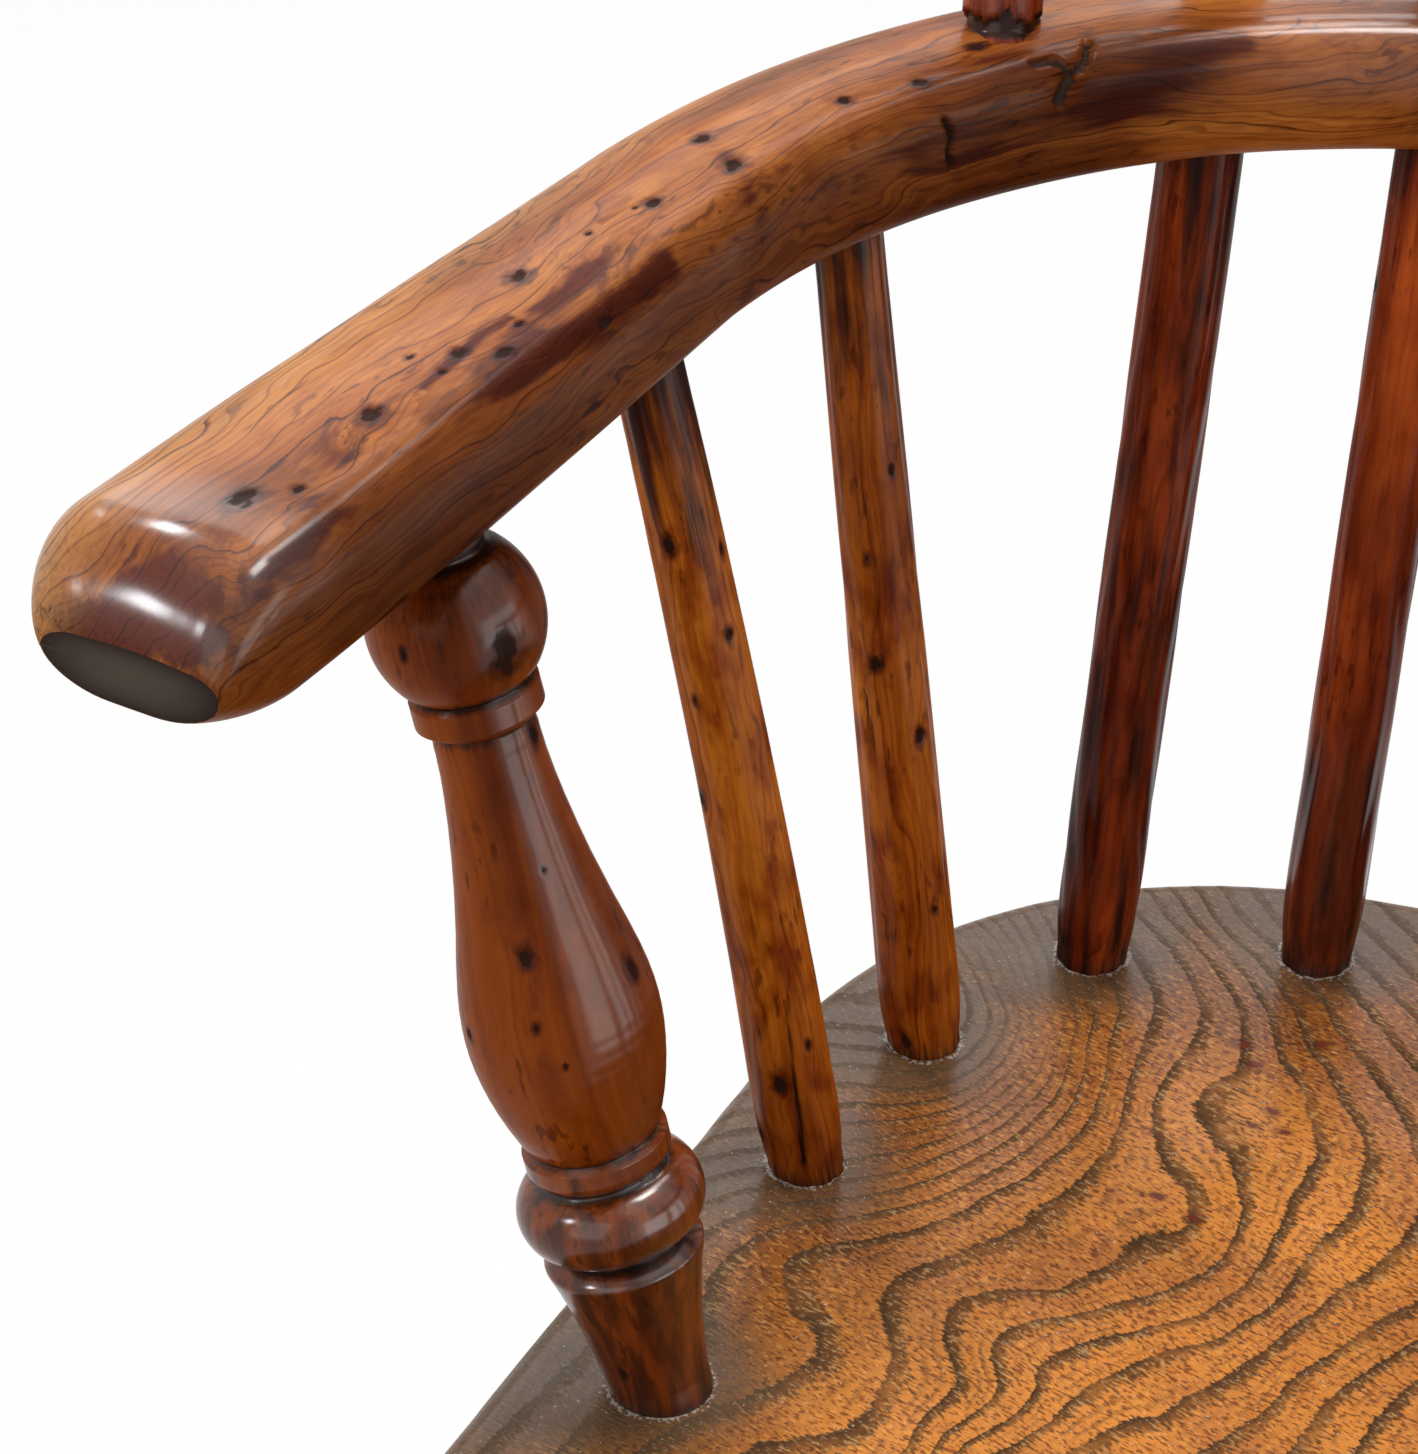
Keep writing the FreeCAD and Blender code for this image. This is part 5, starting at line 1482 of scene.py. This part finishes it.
wood = laid(tree, wood, ease(tree, murk, 0.1, 1.1), 0.8, ELM_PATINA)
crumbs = grain_noise(tree, grain, along=1, scale=1400)
crust = ease(tree, raised(tree, mark(tree, "wax"), 0.3, crumbs), 0.66, 0.78)
wood = laid(tree, wood, crust, 0.6, DRY_WAX)
rough = placed(tree, WAX_POLISH, Grain=grain, Glossy=0.22, Dull=0.5)["Roughness"]
rough = raised(tree, bands["Band"], BAND_ROUGHER, rough)
height = raised(tree, bands["Dash"], 0.3, times(tree, bands["Line"], 0.5))
polish = raised(tree, bands["Band"], -BAND_UNWAXED, SEAT_WAX)
polish = raised(tree, grime_and_shadow, EDGE_POLISH, polish)
waxed(tree, wood, rough, height, ELM_RELIEF, ELM_BUMP, polish, SEAT_WAX_ROUGHNESS)
print("finish:", ELM.name)

# %% [markdown]
# The last fields of the seat say how near each point is to the edge and to the foot of a stick or post. They
# carry the patina, the white wax and a few small knots of a burr.

# %% Seat: piece
FOOT_KINDS = ("back_stick", "arm_stick", "arm_post")
FOOT_NODES = [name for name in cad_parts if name.startswith(FOOT_KINDS)]
AGE_REACH = 62 * MM
EDGE_GRIME, EDGE_GRIME_REACH = 0.8, 24 * MM
FOOT_GRIME, FOOT_GRIME_REACH = 0.9, 12 * MM
WAX_WIDTH = 0.7 * MM
CRUMB_SHARE, CRUMB_REACH = 0.06, 6 * MM
GRAIN_TURN = math.radians(-15)     # the board's grain runs from side to side, a little askew
SEAT_KNOTS = [((1160, 1195), 0.9), ((1193, 1212), 1.0), ((1245, 1043), 1.3), ((1253, 1062), 1.2),
              ((1272, 1110), 0.9), ((1255, 1125), 0.8), ((1285, 1130), 0.8), ((1322, 1045), 1.0),
              ((1140, 1190), 0.7)]
SEAT_UNEVEN = 0.35 * MM
SEAT_LUMPS = (35 * MM, 35 * MM, 12 * MM)
SEAT_RIPPLES = 8 * MM
SEAT_RIPPLE_SHARE = 0.35
WIDEST_RING = 14 * MM

foot_gap = np.full(seat_rows.shape[:2], np.inf)
for name in FOOT_NODES:
    base, axis, heights, radii = turned_outline(name)
    climb = (SEAT_TOP - base[2]) / axis[2]
    spot = base + climb * axis
    radius = np.interp(climb, heights, radii)
    foot_gap = np.minimum(foot_gap, np.linalg.norm(seat_rows[..., :2] - spot[:2], axis=-1) - radius)
edge_gap = reach - np.linalg.norm(seat_rows[..., :2] - hub, axis=-1)
patina = EDGE_GRIME * fade(edge_gap, EDGE_GRIME_REACH)
patina = patina + FOOT_GRIME * fade(np.maximum(foot_gap, 0), FOOT_GRIME_REACH)
knot_spots = [(*seat_spot(*pixel), SEAT_TOP) for pixel, size in SEAT_KNOTS]
knot_sizes = [size * MM for pixel, size in SEAT_KNOTS]
seat_knots = knot_field(seat_rows, seat_rows, knot_spots, knot_sizes)
normals = outward(seat_rows)[0]
uneven = soft_noise(seat_rows, SEAT_LUMPS, seed=8)
uneven = uneven + SEAT_RIPPLE_SHARE * soft_noise(seat_rows, SEAT_RIPPLES, seed=9)
seat_rows = seat_rows + normals * (SEAT_UNEVEN * uneven)[..., None]
seat_rings = seat_ring(seat_rows[..., :2])
slope_x = (seat_ring(seat_rows[..., :2] + (MM, 0)) - seat_rings) / MM
slope_y = (seat_ring(seat_rows[..., :2] + (0, MM)) - seat_rings) / MM
board_turn = np.array([[math.cos(GRAIN_TURN), -math.sin(GRAIN_TURN), 0],
                       [math.sin(GRAIN_TURN), math.cos(GRAIN_TURN), 0],
                       [0, 0, 1]])
add_piece("seat", ELM, seat_rows, {
    "grain": seat_rows @ board_turn,
    "ring": seat_rings,
    "ring_gap": 1 / np.maximum(np.hypot(slope_x, slope_y), 1 / WIDEST_RING),
    "knot": seat_knots,
    "age": fade(edge_gap, AGE_REACH),
    "grime_and_shadow": np.clip(patina, 0, 1),
    "wax": fade(foot_gap, WAX_WIDTH) + CRUMB_SHARE * fade(foot_gap, CRUMB_REACH)})
